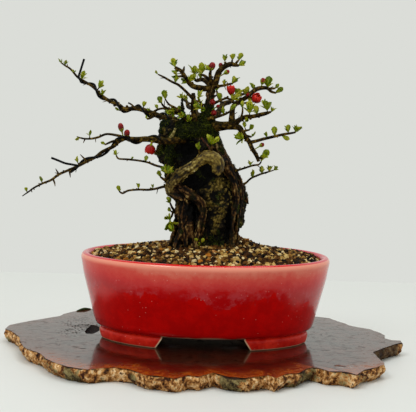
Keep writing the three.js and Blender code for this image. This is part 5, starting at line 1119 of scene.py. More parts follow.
        [[2, -36, 188.5, 3, 6], [4.5, -35.5, 188, 2, 5.5]]),
    "shoot_front_left": (
        [[[-6, -32, 174, 1.2], [-8, -35, 180, 0.7], [-8.5, -35.5, 182, 0.6]]],
        [[-9, -36, 183, 3, 5]]),
    "branch_back": (
        [[[-2, 4, 204, 4.4], [-6, 14, 209, 3.3], [-12, 24, 212, 2.6], [-14, 35, 217, 2.1],
          [-20, 47, 219, 1.7], [-22, 58, 224, 1.2], [-26, 67, 226, 0.7]],
         [[-12, 25, 212, 1.6], [-20, 33, 210, 1.2], [-30, 38, 212, 0.9], [-38, 44, 211, 0.5]],
         [[-15, 37, 217, 1.5], [-8, 45, 221, 1.1], [-3, 54, 221, 0.7]]],
        [[-27, 68, 227, 3, 5.5], [-23, 55, 226, 2, 5], [-39, 45, 212, 3, 5], [-28, 36, 214, 2, 5],
         [-2, 56, 222, 3, 5.5], [-9, 43, 223, 2, 5], [-13, 30, 217, 3, 6]]),
    "branch_back_right": (
        [[[1, 3, 210, 3.4], [8, 11, 215, 2.6], [12, 20, 222, 2.2], [19, 27, 225, 1.8], [24, 36, 231, 1.4],
          [32, 42, 232, 0.9]], [[12, 20, 222, 1.4], [8, 28, 228, 1.1], [6, 34, 234, 0.8]],
         [[19, 27, 225, 1.3], [28, 28, 223, 1], [36, 32, 225, 0.6]]],
        [[33, 43, 233, 3, 5.5], [24, 37, 234, 2, 5], [6, 35, 235.5, 3, 5.5], [37, 33, 226, 3, 5],
         [27, 28, 226, 2, 5]]),
}
TWIG_STEP = 0.75
TWIG_SIDES = 10
SPUR_SPACING = 4.2
LEAF_SHAPES = ((0.22, 0.4, 0.12), (0.29, 0.5, -0.14), (0.35, 0.45, -0.26))
LEAF_STATIONS = 9
LEAF_THICKNESS = 0.035
EXTRA_LEAVES = 3
WIRED_SIDE = -40
LATE_LEAF_SIZE = 0.8
TWIG_SWELL = 1.16
LEAVES_TURN_UP = 0.8
GOLDEN_ANGLE = 2.4
TREE_TOP = 267.2
Leaf = namedtuple("Leaf", "root facing upper size")


def twig_bark():
    """Young quince bark: black brown with tan and olive scales, a little lighter on its upper side."""
    material, add, place = start_material("young_quince_bark")
    scales = add("TexNoise", place, Scale=pitch(3.2), Detail=4, Roughness=0.65)
    colour = add("ValToRGB", scales,
                 stops=[(0.36, "#030200"), (0.46, "#160d02"), (0.55, "#3c2907"), (0.66, "#725a1e"),
                        (0.8, "#a48e46")])
    lit = add("SeparateXYZ", add("NewGeometry").outputs["Normal"]).outputs["Z"]
    upper = add("Mix", add("MapRange", lit, 0.1, 0.9, To_Max=0.25), colour, "#4a420c")
    fine = add("TexNoise", place, Scale=pitch(0.8), Detail=3)
    grit = add("Bump", Strength=0.6, Distance=0.0004, Height=fine)
    add("OutputMaterial",
        add("BsdfPrincipled", Base_Color=upper, Roughness=0.6, Specular_IOR_Level=0.06, Normal=grit))
    return material


def young_leaf():
    """Thin new leaf with a waxy top: fresh yellow green with fine dark veins and a pale midrib."""
    material, add, _ = start_material("young_quince_leaf")
    tone, across, along = (add("Attribute", attribute_name=name).outputs["Fac"]
                           for name in ("tone", "across", "along"))
    green = add("ValToRGB", tone,
                stops=[(0, "#4e6c02"), (0.35, "#7a8e04"), (0.7, "#a2ac0c"), (1, "#c8c83c")])
    veins = add("Math", add("Math", across, -9, add("Math", along, 34), operation="MULTIPLY_ADD"), 0,
                operation="SINE")
    veined = add("Mix", add("MapRange", veins, 0.55, 0.95, To_Max=0.35), green, "#4f6e06")
    midrib = add("MapRange", across, 0.12, 0.02)
    ribbed = add("Mix", add("Math", midrib, 0.5), veined, "#cfd98a")
    blade = add("BsdfPrincipled", Base_Color=ribbed, Roughness=0.42, Specular_IOR_Level=0.2,
                Subsurface_Weight=0.15, Subsurface_Scale=0.001)
    glow = add("BsdfTranslucent", Color=ribbed)
    shared = add("MixShader", 0.3, blade, glow)
    add("OutputMaterial", shared)
    return material


def leaf_shape(name, broadness, fold, arch):
    """One leaf of unit length along x: spoon shaped, finely toothed, folded on its midrib and arched."""
    across = (-1, -0.5, 0, 0.5, 1)
    points, alongs, sides = [], [], []
    for station in range(LEAF_STATIONS):
        share = station / (LEAF_STATIONS - 1)
        width = broadness * (math.sin(math.pi * share ** 1.7) ** 0.6 * 0.9 + 0.1 * (1 - share))
        for side in across:
            tooth = 1 + (0.1 if station % 2 else -0.04) * (abs(side) == 1)
            reach = width * side * tooth
            lift = fold * abs(reach) - arch * share ** 2 + 0.02 * math.sin(9 * share + 2 * side)
            points.append((share - 0.03 * abs(side) * (station % 2), reach, lift))
            alongs.append(share)
            sides.append(abs(side))
    wide, top = len(across), len(points)
    points += [(x, y, z - LEAF_THICKNESS) for x, y, z in points]
    faces = []
    for station in range(LEAF_STATIONS - 1):
        for side in range(wide - 1):
            a = station * wide + side
            quad = (a, a + wide, a + wide + 1, a + 1)
            faces += [quad, tuple(top + corner for corner in reversed(quad))]
    border = ([*range(0, top, wide)] + [*range(top - wide + 1, top)] + [*range(top - wide - 1, 0, -wide)]
              + [*range(wide - 2, 0, -1)])
    for a, b in zip(border, border[1:] + border[:1]):
        faces.append((a, a + top, b + top, b))
    return new_piece(name, np.array(points) / MM, faces, along=alongs * 2, across=sides * 2)


def shapes_on_points(add, shapes, material, tone, **where):
    """Nodes that put one shape of a collection on each point, each in its own tone of the material."""
    picked = add("GeometryNodeCollectionInfo", Collection=shapes, Separate_Children=True,
                 Reset_Children=True)
    placed = add("GeometryNodeInstanceOnPoints", Instance=picked, Pick_Instance=True, **where)
    toned = add("GeometryNodeStoreNamedAttribute", data_type="FLOAT", domain="INSTANCE", Geometry=placed,
                Name="tone", Value=tone)
    return add("GeometryNodeSetMaterial", Geometry=add("GeometryNodeRealizeInstances", Geometry=toned),
               Material=material)


def stem_tree(tube):
    """Node tree for a leafy stem: rough tubes on the lines, and a leaf on each loose point."""
    tree, add, source = start_tree("leafy_stem", Leaves="Collection", Bark="Material", Leaf="Material",
                                   Seed="Int")
    wood = add("GeometryNodeGroup", node_tree=tube, Geometry=source["Geometry"], Step=TWIG_STEP * MM,
               Sides=TWIG_SIDES, Relief=2, Relief_Scale=pitch(2.9), Material=source["Bark"])
    size = add("GeometryNodeInputNamedAttribute", data_type="FLOAT", Name="size")
    facing = add("GeometryNodeInputNamedAttribute", data_type="FLOAT_VECTOR", Name="facing")
    upper = add("GeometryNodeInputNamedAttribute", data_type="FLOAT_VECTOR", Name="upper")
    is_leaf = add("FunctionNodeCompare", data_type="FLOAT", operation="GREATER_THAN", A=size, B=0.0)
    choice = add("FunctionNodeRandomValue", data_type="INT", Min=0, Max=len(LEAF_SHAPES) - 1,
                 Seed=source["Seed"])
    turned = add("FunctionNodeAxesToRotation", primary_axis="X", secondary_axis="Z", Primary_Axis=facing,
                 Secondary_Axis=upper)
    tone = add("FunctionNodeRandomValue", data_type="FLOAT", Min=0.1, Max=1.0, Seed=source["Seed"])
    blades = shapes_on_points(add, source["Leaves"], source["Leaf"], tone, Points=source["Geometry"],
                              Selection=is_leaf, Instance_Index=choice, Rotation=turned, Scale=size)
    both = add("GeometryNodeJoinGeometry")
    for part in (blades, wood):
        tree.links.new(part.outputs[0], both.inputs[0])
    add("NodeGroupOutput", Geometry=both)
    return tree


def nearest_on_limbs(target, limbs):
    """Closest point of the limbs' lines to a point, and the direction that the limb runs in there."""
    best = (math.inf, None, None)
    for route in limbs:
        for start, end in zip(route, route[1:]):
            start, end = Vector(start[:3]), Vector(end[:3])
            run = end - start
            share = max(0, min(1, (target - start).dot(run) / run.length_squared))
            point = start + run * share
            best = min(best, ((point - target).length, tuple(point), tuple(run.normalized())))
    return best[0], Vector(best[1]), Vector(best[2])


def side_spurs(limbs, draw):
    """Blunt spurs, bud knots and a few sharp thorns that stand off the limbs at random."""
    spurs = []
    for route in limbs:
        stops = resampled(route, SPUR_SPACING)
        points = [Vector(stop[:3]) for stop in stops]
        for (direction, side, other), point, stop in list(zip(frames_along(points), points, stops))[1:-1]:
            if stop[3] > 2.6 or draw.random() < 0.25:
                continue
            turn, thorn = draw.uniform(0, 2 * math.pi), draw.random() < 0.22
            length = draw.uniform(3, 5) if thorn else draw.uniform(0.5, 1.8)
            away = side * math.cos(turn) + other * math.sin(turn) + direction * draw.uniform(0.2, 0.9)
            start = point + direction * draw.uniform(-2, 2)
            tip = start + away.normalized() * (stop[3] + length)
            thick = 0.35 if thorn else draw.uniform(0.5, 0.9) * min(1.7, stop[3])
            middle = start.lerp(tip, 0.75)
            spurs.append([[*start, thick], [*middle, thick * 0.8], [*tip, 0.1 if thorn else thick * 0.6]])
    return spurs


def rosette(tuft, limbs, draw):
    """Spur and leaves of one tuft: the leaves open round its axis, one golden angle after the other."""
    x, y, z, count, length = tuft
    middle = Vector((x, y, z))
    distance, foot, along = nearest_on_limbs(middle, limbs)
    outward = (middle - foot).normalized() if distance > 1 else along
    heart = foot + outward * max(0.2, distance - 0.45 * length)
    axis = (outward + Vector((0, 0, LEAVES_TURN_UP))).normalized()
    square = axis.orthogonal().normalized()
    start = draw.uniform(0, 2 * math.pi)
    leaves = []
    for number in range(count + EXTRA_LEAVES):
        turn = start + GOLDEN_ANGLE * number
        lean = draw.uniform(0.05, 0.45) + 0.13 * number
        away = Quaternion(axis, turn) @ square
        facing = (axis * math.cos(lean) + away * math.sin(lean)).normalized()
        upper = (axis - facing * axis.dot(facing)).normalized()
        size = length * draw.uniform(1.1, 1.65) * (1 if number < count else 0.75)
        size *= LATE_LEAF_SIZE if x < WIRED_SIDE else 1
        root = heart + outward * draw.uniform(-0.6, 0.4)
        room = (TREE_TOP - root.z) / max(0.3, facing.z)
        leaves.append(Leaf(root, facing, upper, min(size, room)))
    spur = [[*foot, 0.55], [*foot.lerp(heart, 0.6), 0.5], [*(heart + outward * 0.4), 0.3]]
    return [spur] if distance > 1 else [], leaves


def stem_source(name, limbs, tufts, draw):
    """Lines of the wood and loose points of the leaves of one stem."""
    leaves, lines = [], [*limbs, *side_spurs(limbs, draw)]
    for tuft in tufts:
        spur, blades = rosette(tuft, limbs, draw)
        leaves += blades
        lines += spur
    swollen = [[[*stop[:3], stop[3] * TWIG_SWELL] for stop in line] for line in lines]
    source = lines_piece(name, swollen, [leaf.root for leaf in leaves])
    stops = len(source.data.vertices) - len(leaves)
    store(source.data, size=[0] * stops + [leaf.size * MM for leaf in leaves])
    for key in ("facing", "upper"):
        vectors = [(0, 0, 0)] * stops + [getattr(leaf, key) for leaf in leaves]
        attribute = source.data.attributes.new(key, "FLOAT_VECTOR", "POINT")
        attribute.data.foreach_set("vector", np.array(vectors).ravel())
    return source


def kept_aside(name, shapes):
    """Collection of shapes that a node tree picks from, which are not in the scene themselves."""
    collection = bpy.data.collections.new(name)
    for shape in shapes:
        bpy.context.scene.collection.objects.unlink(shape)
        collection.objects.link(shape)
    return collection


leaf_shapes = kept_aside("leaf_shapes", [leaf_shape(f"leaf_shape_{number}", *shape)
                                         for number, shape in enumerate(LEAF_SHAPES)])
bark, blade = twig_bark(), young_leaf()
leafy_stem = stem_tree(rough_tube)
for number, (node, (limbs, tufts)) in enumerate(BRANCHES.items()):
    source = stem_source(node + "_lines", limbs, tufts, random.Random(100 + number))
    piece = grown(node + "_wood_and_leaves", source, leafy_stem, Leaves=leaf_shapes, Bark=bark, Leaf=blade,
                  Seed=number)
    fit(piece, "twigs_and_leaves", node)

# Weed: one soft seedling with a few fresh green leaves, self sown in the moss at the rock's foot. Its stems
# and leaves are made as the quince's shoots are, only smaller.
WEED_STEMS = [[[-5.5, -31, 93, 0.6], [-6, -33, 98, 0.4], [-7.5, -33.5, 101, 0.3]],
              [[-6, -33, 97, 0.5], [-3.5, -33.5, 100.5, 0.3]]]
WEED_TUFTS = [[-8.5, -34, 102.5, 3, 3.2], [-2.8, -34, 101.8, 2, 3.2], [-5.6, -34.5, 98.6, 2, 2.8]]
source = stem_source("weed_lines", WEED_STEMS, WEED_TUFTS, random.Random(150))
weed = grown("weed_seedling", source, leafy_stem, Leaves=leaf_shapes, Bark=bark, Leaf=blade, Seed=50)
fit(weed, "twigs_and_leaves")

# Training wires: two lengths of soft black anodised aluminium wire, wound round the long left branches by
# hand and left with a straight tail where the branch was let go. Entries are the branch, how far along it
# in mm the winding starts and ends, the turns, the angle of the first one, and the stops of the tail.
WIRE_RADIUS = 1
WIRE_GAP = 0.3
WIRE_STEPS_PER_TURN = 30
WIRES = {"training_wire_upper": ("branch_upper_left", 18, 112, 3.8, -0.4,
                                 [[-118, 16.5, 240], [-119.5, 16.5, 243.5], [-118, 16.5, 249],
                                  [-115, 17, 259.5]]),
         "training_wire_lower": ("branch_lower_left", 22, 112, 2.7, 0.4,
                                 [[-113.5, -32.5, 164.5], [-118.5, -33.5, 166], [-124.5, -34, 167],
                                  [-131, -35, 169.5], [-136.5, -35.5, 171.5]])}


def wound_wire(branch, first, last, turns, phase, tail):
    """Route of a wire that winds along a branch's main limb and ends in a tail."""
    route = np.array(BRANCHES[branch][0][0], float)
    points = [Vector(stop[:3]) for stop in route]
    frames = frames_along(points)
    lengths = np.concatenate([[0], np.cumsum([(b - a).length for a, b in zip(points, points[1:])])])
    steps, stops = round(turns * WIRE_STEPS_PER_TURN), []
    for step in range(steps + 1):
        along = first + (last - first) * step / steps
        segment = int(np.searchsorted(lengths, along, side="right"))
        part = (along - lengths[segment - 1]) / (lengths[segment] - lengths[segment - 1])
        side = frames[segment - 1][1].lerp(frames[segment][1], part).normalized()
        other = frames[segment - 1][2].lerp(frames[segment][2], part).normalized()
        radius = np.interp(along, lengths, route[:, 3]) + WIRE_RADIUS + WIRE_GAP
        angle = phase + 2 * math.pi * turns * step / steps
        middle = points[segment - 1].lerp(points[segment], part)
        stops.append([*(middle + side * radius * math.cos(angle) + other * radius * math.sin(angle)),
                      WIRE_RADIUS])
    return stops + [[*point, WIRE_RADIUS] for point in tail]


# The anodised wire is a satin black metal, a little scuffed along its turns.
wire_finish = mottled("black_anodised_aluminium", 1.5, 3, (0.6, 0.8), "#050505", "#202021", Metallic=0.6,
                      Roughness=0.45, Specular_IOR_Level=0.2)
for node, wire in WIRES.items():
    lines = lines_piece(node + "_line", [wound_wire(*wire)])
    piece = grown(node + "_round", lines, rough_tube, Step=0.6 * MM, Sides=12, Relief=0.0,
                  Relief_Scale=pitch(2), Material=wire_finish)
    fit(piece, "wire_aluminium", node)

# Small growths: a red brown twig over the hollow, a sawn pale stub on the rock's upper lobe, a sliver of
# moss on the slab's edge and dry twigs in the soil. All are wood or moss that grew where they stand.
# Each is given by its finish, which is dull and streaked between two colours, and by its lines.
LITTLE_TWIGS = {
    "red_twig": ("red_brown_twig", "#1e0d05", "#583016",
                 [[[-6.7, -22, 192.3, 0.7], [-2, -23, 186.6, 0.9], [0.5, -25, 184, 0.8],
                   [2, -27, 179.5, 0.9]]]),
    "pale_stub": ("sawn_pale_wood", "#453b14", "#9c8f54",
                  [[[-37, -17, 189, 1.6], [-33.5, -20, 191.5, 1.7], [-31, -22, 196, 1.2],
                    [-29.5, -22, 200, 0.9]]]),
    "moss_sliver": ("dark_moss_on_bark", "#0e1606", "#3c4c18",
                    [[[-127, 112, 12.2, 0.8], [-121, 121, 12.8, 1.5], [-115, 126, 12.2, 0.8]]]),
    "dry_twig": ("dry_grey_twig", "#1a140c", "#4c4028",
                 [[[31, 20, 92, 0.8], [30.2, 20, 95, 0.7], [29.5, 20, 98.5, 0.4]],
                  [[49, 10, 89, 0.5], [49.2, 10, 93, 0.45], [48.6, 10, 97.5, 0.25]]]),
}
for name, (finish, low, high, routes) in LITTLE_TWIGS.items():
    streaked = mottled(finish, 1.6, 4, (0.4, 0.62), low, high, Roughness=0.65, Specular_IOR_Level=0.15)
    piece = grown(name, lines_piece(name + "_line", routes), rough_tube, Step=0.5 * MM, Sides=10,
                  Relief=0.8, Relief_Scale=pitch(2), Material=streaked)
    fit(piece, "quince_bark")

# Flower buds and blooms: a bud is a ball of five scarlet petals, wrapped one over the next, in a green cup
# on a short stalk. The half open blooms have two rings of cupped petals round a closed heart.
# Entries are the base, the tip and the widest radius in mm, and the stretch, for a bloom also the taper.
CLOSED_BUDS = {
    "bud_fork_high": ((-75.5, -22, 192), (-78.5, -21, 203), 2.6, 1.45),
    "bud_fork_low": ((-72.5, -22.5, 190.5), (-71.5, -24.5, 197.5), 2.7, 1.25),
    "bud_apex": ((0, -4, 251.5), (2, -3.5, 259), 3, 1.25),
    "bud_apex_back": ((8, 2.5, 252.5), (9, 4.5, 259), 1.9, 1.25),
    "bud_calyx": ((7, 0, 246), (16.5, -3, 252), 2.1, 1.25),
    "bud_trunk_high": ((-0.5, -3, 221.5), (4, -9, 225), 2.6, 1.25),
    "bud_trunk_small": ((0, -4, 215.5), (8.5, -10.5, 221), 1.5, 1.25),
    "bud_trunk_low": ((-1, -5, 213), (6, -11, 214.5), 2.5, 1.25),
    "bud_right_high": ((45.5, 3, 238), (47.5, 2, 246.5), 2.3, 1.25),
    "bud_right_small": ((32, -2.5, 228.5), (34, -6, 232.5), 1.7, 1.25),
    "bud_right_low": ((39.5, -19, 182.5), (48.5, -24, 188.5), 1.9, 1.25),
}
OPEN_BLOOMS = {
    "bloom_hanging": ((-50, -16.5, 188), (-52.9, -19, 175.8), 4.5, 0.98, 0),
    "bloom_middle": ((19.5, -13, 228), (17.6, -15, 239.6), 4.4, 1.1, 0.5),
    "bloom_right": ((40, -9, 227), (43.5, -14, 230.8), 4.7, 1.03, 0.15),
}
PETALS = 5
PETAL_THICKNESS = 0.22
BUD_TAPER = 0.15


def petal_skin(name, stops):
    """Smooth satin petal, darker at its foot and lighter at its edge, with a faint mottle."""
    material, add, place = start_material(name)
    along = add("Attribute", attribute_name="along").outputs["Fac"]
    fine = add("TexNoise", place, Scale=pitch(1.8), Detail=3)
    red = add("ValToRGB", wandering(add, along, fine, 0.45), stops=stops)
    add("OutputMaterial", add("BsdfPrincipled", Base_Color=red, Roughness=0.4, Specular_IOR_Level=0.22))
    return material


def cupped_sheet(radius, turn, reach, spread, wrap, ruffle, stretch, taper):
    """Petal on a ball: it rises from the base by an angle, and one edge lies outside the next petal."""
    rows, columns, points, alongs = 9, 8, [], []
    for row in range(rows + 1):
        share = row / rows
        rise = reach * share
        width = spread * (0.35 + 0.65 * math.sin(math.pi * (0.12 + 0.62 * share)))
        width *= 1 - 0.45 * max(0, share - 0.8) / 0.2
        for column in range(columns + 1):
            side = 2 * column / columns - 1
            at = turn + width * side
            bulge = radius * (1 + wrap * side + ruffle * share * math.sin(5 * side + 3 * turn))
            out = bulge * math.sin(rise) * (1 - taper * 0.5 * (1 + math.cos(rise)))
            points.append((out * math.cos(at), out * math.sin(at),
                           (radius - bulge * math.cos(rise)) * stretch))
            alongs.append(share)
    faces = []
    for row in range(rows):
        for column in range(columns):
            a = row * (columns + 1) + column
            faces.append((a, a + 1, a + columns + 2, a + columns + 1))
    return points, faces, alongs


def flower(name, base, tip, radius, layers, petal_finish, stretch, taper):
    """Stalk, cup and petal layers of one flower, turned to stand from its base to its tip."""
    base, tip = Vector(base), Vector(tip)
    axis = (tip - base).normalized()
    turned = Vector((0, 0, 1)).rotation_difference(axis).to_matrix().to_4x4()
    ball = tip - axis * radius * 2.05 * stretch
    parts = []
    for size, turn, reach, spread, wrap, ruffle, kind in layers:
        for petal in range(PETALS):
            points, faces, alongs = cupped_sheet(size * radius, turn + petal * 2 * math.pi / PETALS, reach,
                                                 spread, wrap, ruffle, stretch, taper)
            lift = Vector((0, 0, radius * (1 - size) * (0.9 if kind == 0 else 0)))
            places = [turned @ (Vector(p) + lift) + ball for p in points]
            sheet = new_piece(name + "_sheet", places, faces, along=alongs)
            sheet.data.materials.append(petal_finish)
            sheet.data.materials.append(cup_finish)
            for face in sheet.data.polygons:
                face.material_index = kind
            wall = sheet.modifiers.new("thickness", "SOLIDIFY")
            wall.thickness = PETAL_THICKNESS * MM
            parts.append(settled(sheet))
    bell = ball + axis * radius * 0.2
    stalk = [[*base, 0.25 * radius], [*base.lerp(bell, 0.45), 0.23 * radius],
             [*base.lerp(bell, 0.8), 0.3 * radius], [*bell, 0.42 * radius],
             [*bell + axis * radius * 0.2, 0.3 * radius]]
    tube = grown(name + "_stalk", lines_piece(name + "_stalk_line", [stalk]), rough_tube, Step=0.5 * MM,
                 Sides=10, Relief=0.2, Relief_Scale=pitch(2), Material=cup_finish)
    return joined([*parts, tube], name + "_petals")


# Layers are size, turn, reach, spread, wrap, ruffle and finish, 0 for petals and 1 for sepals.
BUD_LAYERS = ((1, 0, 2.95, 0.98, 0.09, 0.01, 0), (1.07, 0.3, 1.15, 0.6, 0.02, 0.03, 1))
GREEN_BUD_LAYERS = (BUD_LAYERS[0], (1.12, 0.3, 1.85, 0.68, 0.02, 0.03, 1))
GREEN_BUDS = ("bud_calyx", "bud_right_high", "bud_right_low")
BLOOM_LAYERS = ((1, 0, 2.45, 0.88, 0.12, 0.03, 0), (0.86, 0.63, 2.6, 0.95, 0.1, 0.02, 0),
                (0.7, 0.2, 2.9, 0.98, 0.1, 0.01, 0), (1.05, 0.3, 0.95, 0.5, 0.02, 0.02, 1))
bud_skin = petal_skin("crimson_bud_petal",
                      [(0, "#300102"), (0.4, "#580303"), (0.8, "#820806"), (1, "#9c1a12")])
bloom_skin = petal_skin("scarlet_quince_petal",
                        [(0, "#4e0000"), (0.4, "#800202"), (0.75, "#a40703"), (1, "#cc2a0c")])
# Sepals and stalks are smooth and yellow green, with a brown red flush.
cup_finish = mottled("flushed_green_sepal", 3.5, 3, (0.52, 0.66), "#7d8f10", "#7a2c14", Roughness=0.5,
                     Specular_IOR_Level=0.2)
for node, (base, tip, radius, stretch) in CLOSED_BUDS.items():
    bud_layers = GREEN_BUD_LAYERS if node in GREEN_BUDS else BUD_LAYERS
    fit(flower(node, base, tip, radius, bud_layers, bud_skin, stretch, BUD_TAPER), "scarlet_petals", node)
for node, (base, tip, radius, stretch, taper) in OPEN_BLOOMS.items():
    fit(flower(node, base, tip, radius, BLOOM_LAYERS, bloom_skin, stretch, taper), "scarlet_petals", node)

# Soil: a firm mound of dark fines with sifted grains on top, 3 to 6 mm across: brown baked clay, tan and
# cream pumice, black lava and a few orange ones. They lie loose and angular right up to the pot's lip.
SOIL_EDGE = 83.8
MOUND_HEIGHT = 17
HEAP = (24, 12, 27, 7)
POT_LENGTH, POT_WIDTH = 224, 179
ROCK_REACH = 14
GRAIN_REACH = 101.4
GRAIN_KINDS = 5


def mound(x, y):
    """Height of the soil's mound, with its heap to the right of the rock."""
    outward = math.hypot(2 * x / POT_LENGTH, 2 * y / POT_WIDTH)
    heap_x, heap_y, reach, height = HEAP
    from_heap = math.hypot(x - heap_x, y - heap_y) / reach
    return SOIL_EDGE + MOUND_HEIGHT * max(0, 1 - outward) + height * max(0, 1 - from_heap)


def mound_surface():
    """Top of the soil between the rock and the pot's lip, for the grains to lie on."""
    sides, rows = 96, 30
    points = []
    for row in range(rows):
        reach = ROCK_REACH + (GRAIN_REACH - ROCK_REACH) * row / (rows - 1)
        for turn in angles(sides):
            x, y = reach * math.cos(turn), half_width(reach) * math.sin(turn)
            points.append((x, y, mound(x, y)))
    return new_piece("mound_surface", points, ring_faces(sides, rows))


def angular_grain(name, draw):
    """Broken grain of about unit size: the hull of a dozen points near a ball."""
    body = bmesh.new()
    for _ in range(13):
        away = Vector((draw.gauss(0, 1), draw.gauss(0, 1), draw.gauss(0, 1))).normalized()
        body.verts.new(away * draw.uniform(0.78, 1.05))
    bmesh.ops.convex_hull(body, input=body.verts)
    loose = [vertex for vertex in body.verts if not vertex.link_faces]
    bmesh.ops.delete(body, geom=loose, context="VERTS")
    mesh = bpy.data.meshes.new(name)
    body.to_mesh(mesh)
    body.free()
    return linked(name, mesh)


def scatter_tree():
    """Node tree that strews shapes over a surface, well apart, each turned and sized at random."""
    tree, add, source = start_tree("strewn_shapes", Shapes="Collection", Kinds="Int", Distance="Float",
                                   Density="Float", Smallest="Float", Largest="Float", Upright="Float",
                                   Seed="Int", Material="Material")
    cover = add("GeometryNodeInputNamedAttribute", data_type="FLOAT", Name="cover")
    strewn = add("GeometryNodeDistributePointsOnFaces", distribute_method="POISSON",
                 Mesh=source["Geometry"], Distance_Min=source["Distance"], Density_Max=source["Density"],
                 Density_Factor=cover, Seed=source["Seed"])
    tumbled = add("FunctionNodeRandomValue", data_type="FLOAT_VECTOR", Min=(-3.1, -3.1, -3.1),
                  Max=(3.1, 3.1, 3.1), Seed=source["Seed"])
    tumble = add("FunctionNodeEulerToRotation", Euler=tumbled)
    standing = add("GeometryNodeSwitch",
                   add("FunctionNodeCompare", data_type="FLOAT", operation="GREATER_THAN",
                       A=source["Upright"], B=0.5), tumble, strewn.outputs["Rotation"],
                   input_type="ROTATION")
    size = add("FunctionNodeRandomValue", data_type="FLOAT", Min=source["Smallest"], Max=source["Largest"],
               Seed=5)
    kind = add("FunctionNodeRandomValue", data_type="INT", Min=0, Max=source["Kinds"], Seed=8)
    tone = add("FunctionNodeRandomValue", data_type="FLOAT", Min=0.0, Max=1.0, Seed=9)
    finished = shapes_on_points(add, source["Shapes"], source["Material"], tone, Points=strewn,
                                Instance_Index=kind, Rotation=standing, Scale=size)
    add("NodeGroupOutput", Geometry=finished)
    return tree


def sifted_grains():
    """Sifted soil, one kind to a grain: baked clay, pumice, lava, orange scoria; browner on the right."""
    material, add, place = start_material("sifted_soil_grains")
    across = add("SeparateXYZ", place).outputs["X"]
    tone = add("Math", add("Attribute", attribute_name="tone").outputs["Fac"],
               add("MapRange", across, 0.02, 0.06, To_Max=0.1, interpolation_type="LINEAR"),
               operation="SUBTRACT")
    kinds = add("ValToRGB", tone,
                stops=[(0, "#0e0703"), (0.15, "#281503"), (0.35, "#4a2b0b"), (0.52, "#6e4716"),
                       (0.64, "#936a2c"), (0.74, "#b8934e"), (0.82, "#d9ba74"), (0.92, "#f2dda8"),
                       (0.95, "#a8661e"), (1, "#c27a22")])
    pores = add("TexNoise", place, Scale=pitch(1.1), Detail=3, Roughness=0.7)
    worn = add("Mix", add("MapRange", pores, 0.45, 0.7), kinds, "#7a5a34", blend_type="MULTIPLY")
    dusted = add("Mix", 0.6, kinds, worn)
    grit = add("Bump", Strength=0.8, Distance=0.0006, Height=pores)
    add("OutputMaterial",
        add("BsdfPrincipled", Base_Color=dusted, Roughness=0.85, Specular_IOR_Level=0.15, Normal=grit))
    return material


def soil_fines():
    """Fine damp soil between and under the grains: brown black and matt, partly as painted shade in the
    gaps.
    """
    material, add, place = start_material("dark_soil_fines")
    crumbs = add("TexNoise", place, Scale=pitch(1.5), Detail=4)
    colour = add("ValToRGB", crumbs, stops=[(0.35, "#0a0502"), (0.6, "#33200e"), (0.8, "#5c4424")])
    grit = add("Bump", Strength=1, Distance=0.001, Height=crumbs)
    add("OutputMaterial",
        add("BsdfPrincipled", Base_Color=colour, Roughness=0.95, Specular_IOR_Level=0.1, Normal=grit))
    return material


coat(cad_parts["soil"], soil_fines())
draw = random.Random(31)
grain_shapes = kept_aside("grain_shapes", [angular_grain(f"grain_{number}", draw)
                                           for number in range(GRAIN_KINDS)])
strewn_shapes = scatter_tree()
surface = mound_surface()
store(surface.data, cover=np.ones(len(surface.data.vertices)))
grains = grown("soil_grains", surface, strewn_shapes, Shapes=grain_shapes, Kinds=GRAIN_KINDS - 1,
               Distance=2.7 * MM, Density=0.4 / MM ** 2, Smallest=1.7 * MM, Largest=3.3 * MM, Upright=0.0,
               Seed=3, Material=sifted_grains())
fit(grains, "bonsai_soil")

# Moss: low cushions that creep over the damp stone and the old bark, thickest in the saddle where the
# trunk sits on the rock. Each tuft is a few pointed shoots, rooted in the surface.
TUFT_KINDS = 3


def moss_tuft(name, draw):
    """Five short leaning shoots of about unit height, each a thin three sided spike."""
    points, faces = [], []
    for _ in range(5):
        turn, lean = draw.uniform(0, 2 * math.pi), draw.uniform(0.1, 0.75)
        foot = Vector((0.3 * math.cos(turn), 0.3 * math.sin(turn), -0.15))
        tip = foot + Vector((math.cos(turn) * lean, math.sin(turn) * lean, draw.uniform(0.7, 1.1)))
        start = len(points)
        for corner in range(3):
            around = turn + corner * 2 * math.pi / 3
            points.append(foot + Vector((0.17 * math.cos(around), 0.17 * math.sin(around), 0)))
        points.append(tip)
        faces += [tuple(start + corner for corner in face)
                  for face in ((0, 1, 3), (1, 2, 3), (2, 0, 3), (0, 2, 1))]
    return new_piece(name, np.array(points) / MM, faces)


def living_moss():
    """Moss leaves: deep bottle green to olive and yellow green, by random tone tuft by tuft and in broad
    patches.
    """
    material, add, place = start_material("cushion_moss")
    tone = add("Attribute", attribute_name="tone").outputs["Fac"]
    patches = add("TexNoise", place, Scale=pitch(11), Detail=2)
    shade = add("Math", patches, 0.7, add("Math", tone, 0.45), operation="MULTIPLY_ADD")
    colour = add("ValToRGB", shade,
                 stops=[(0.25, "#040700"), (0.48, "#111902"), (0.68, "#363f05"), (0.9, "#757c12")])
    add("OutputMaterial", add("BsdfPrincipled", Base_Color=colour, Roughness=0.7, Specular_IOR_Level=0.1))
    return material


def moss_cover(piece, name, share, seed):
    """Moss tufts over the mossy parts of a piece, as a piece of their own."""
    mesh = piece.data.copy()
    moss = np.empty(len(mesh.vertices))
    mesh.attributes["moss"].data.foreach_get("value", moss)
    store(mesh, cover=np.clip((moss - share) * 3, 0, 1))
    return grown(name, linked(name + "_source", mesh), strewn_shapes, Shapes=moss_tufts,
                 Kinds=TUFT_KINDS - 1, Distance=0.75 * MM, Density=3 / MM ** 2, Smallest=0.7 * MM,
                 Largest=1.5 * MM, Upright=1.0, Seed=seed, Material=moss_leaves)


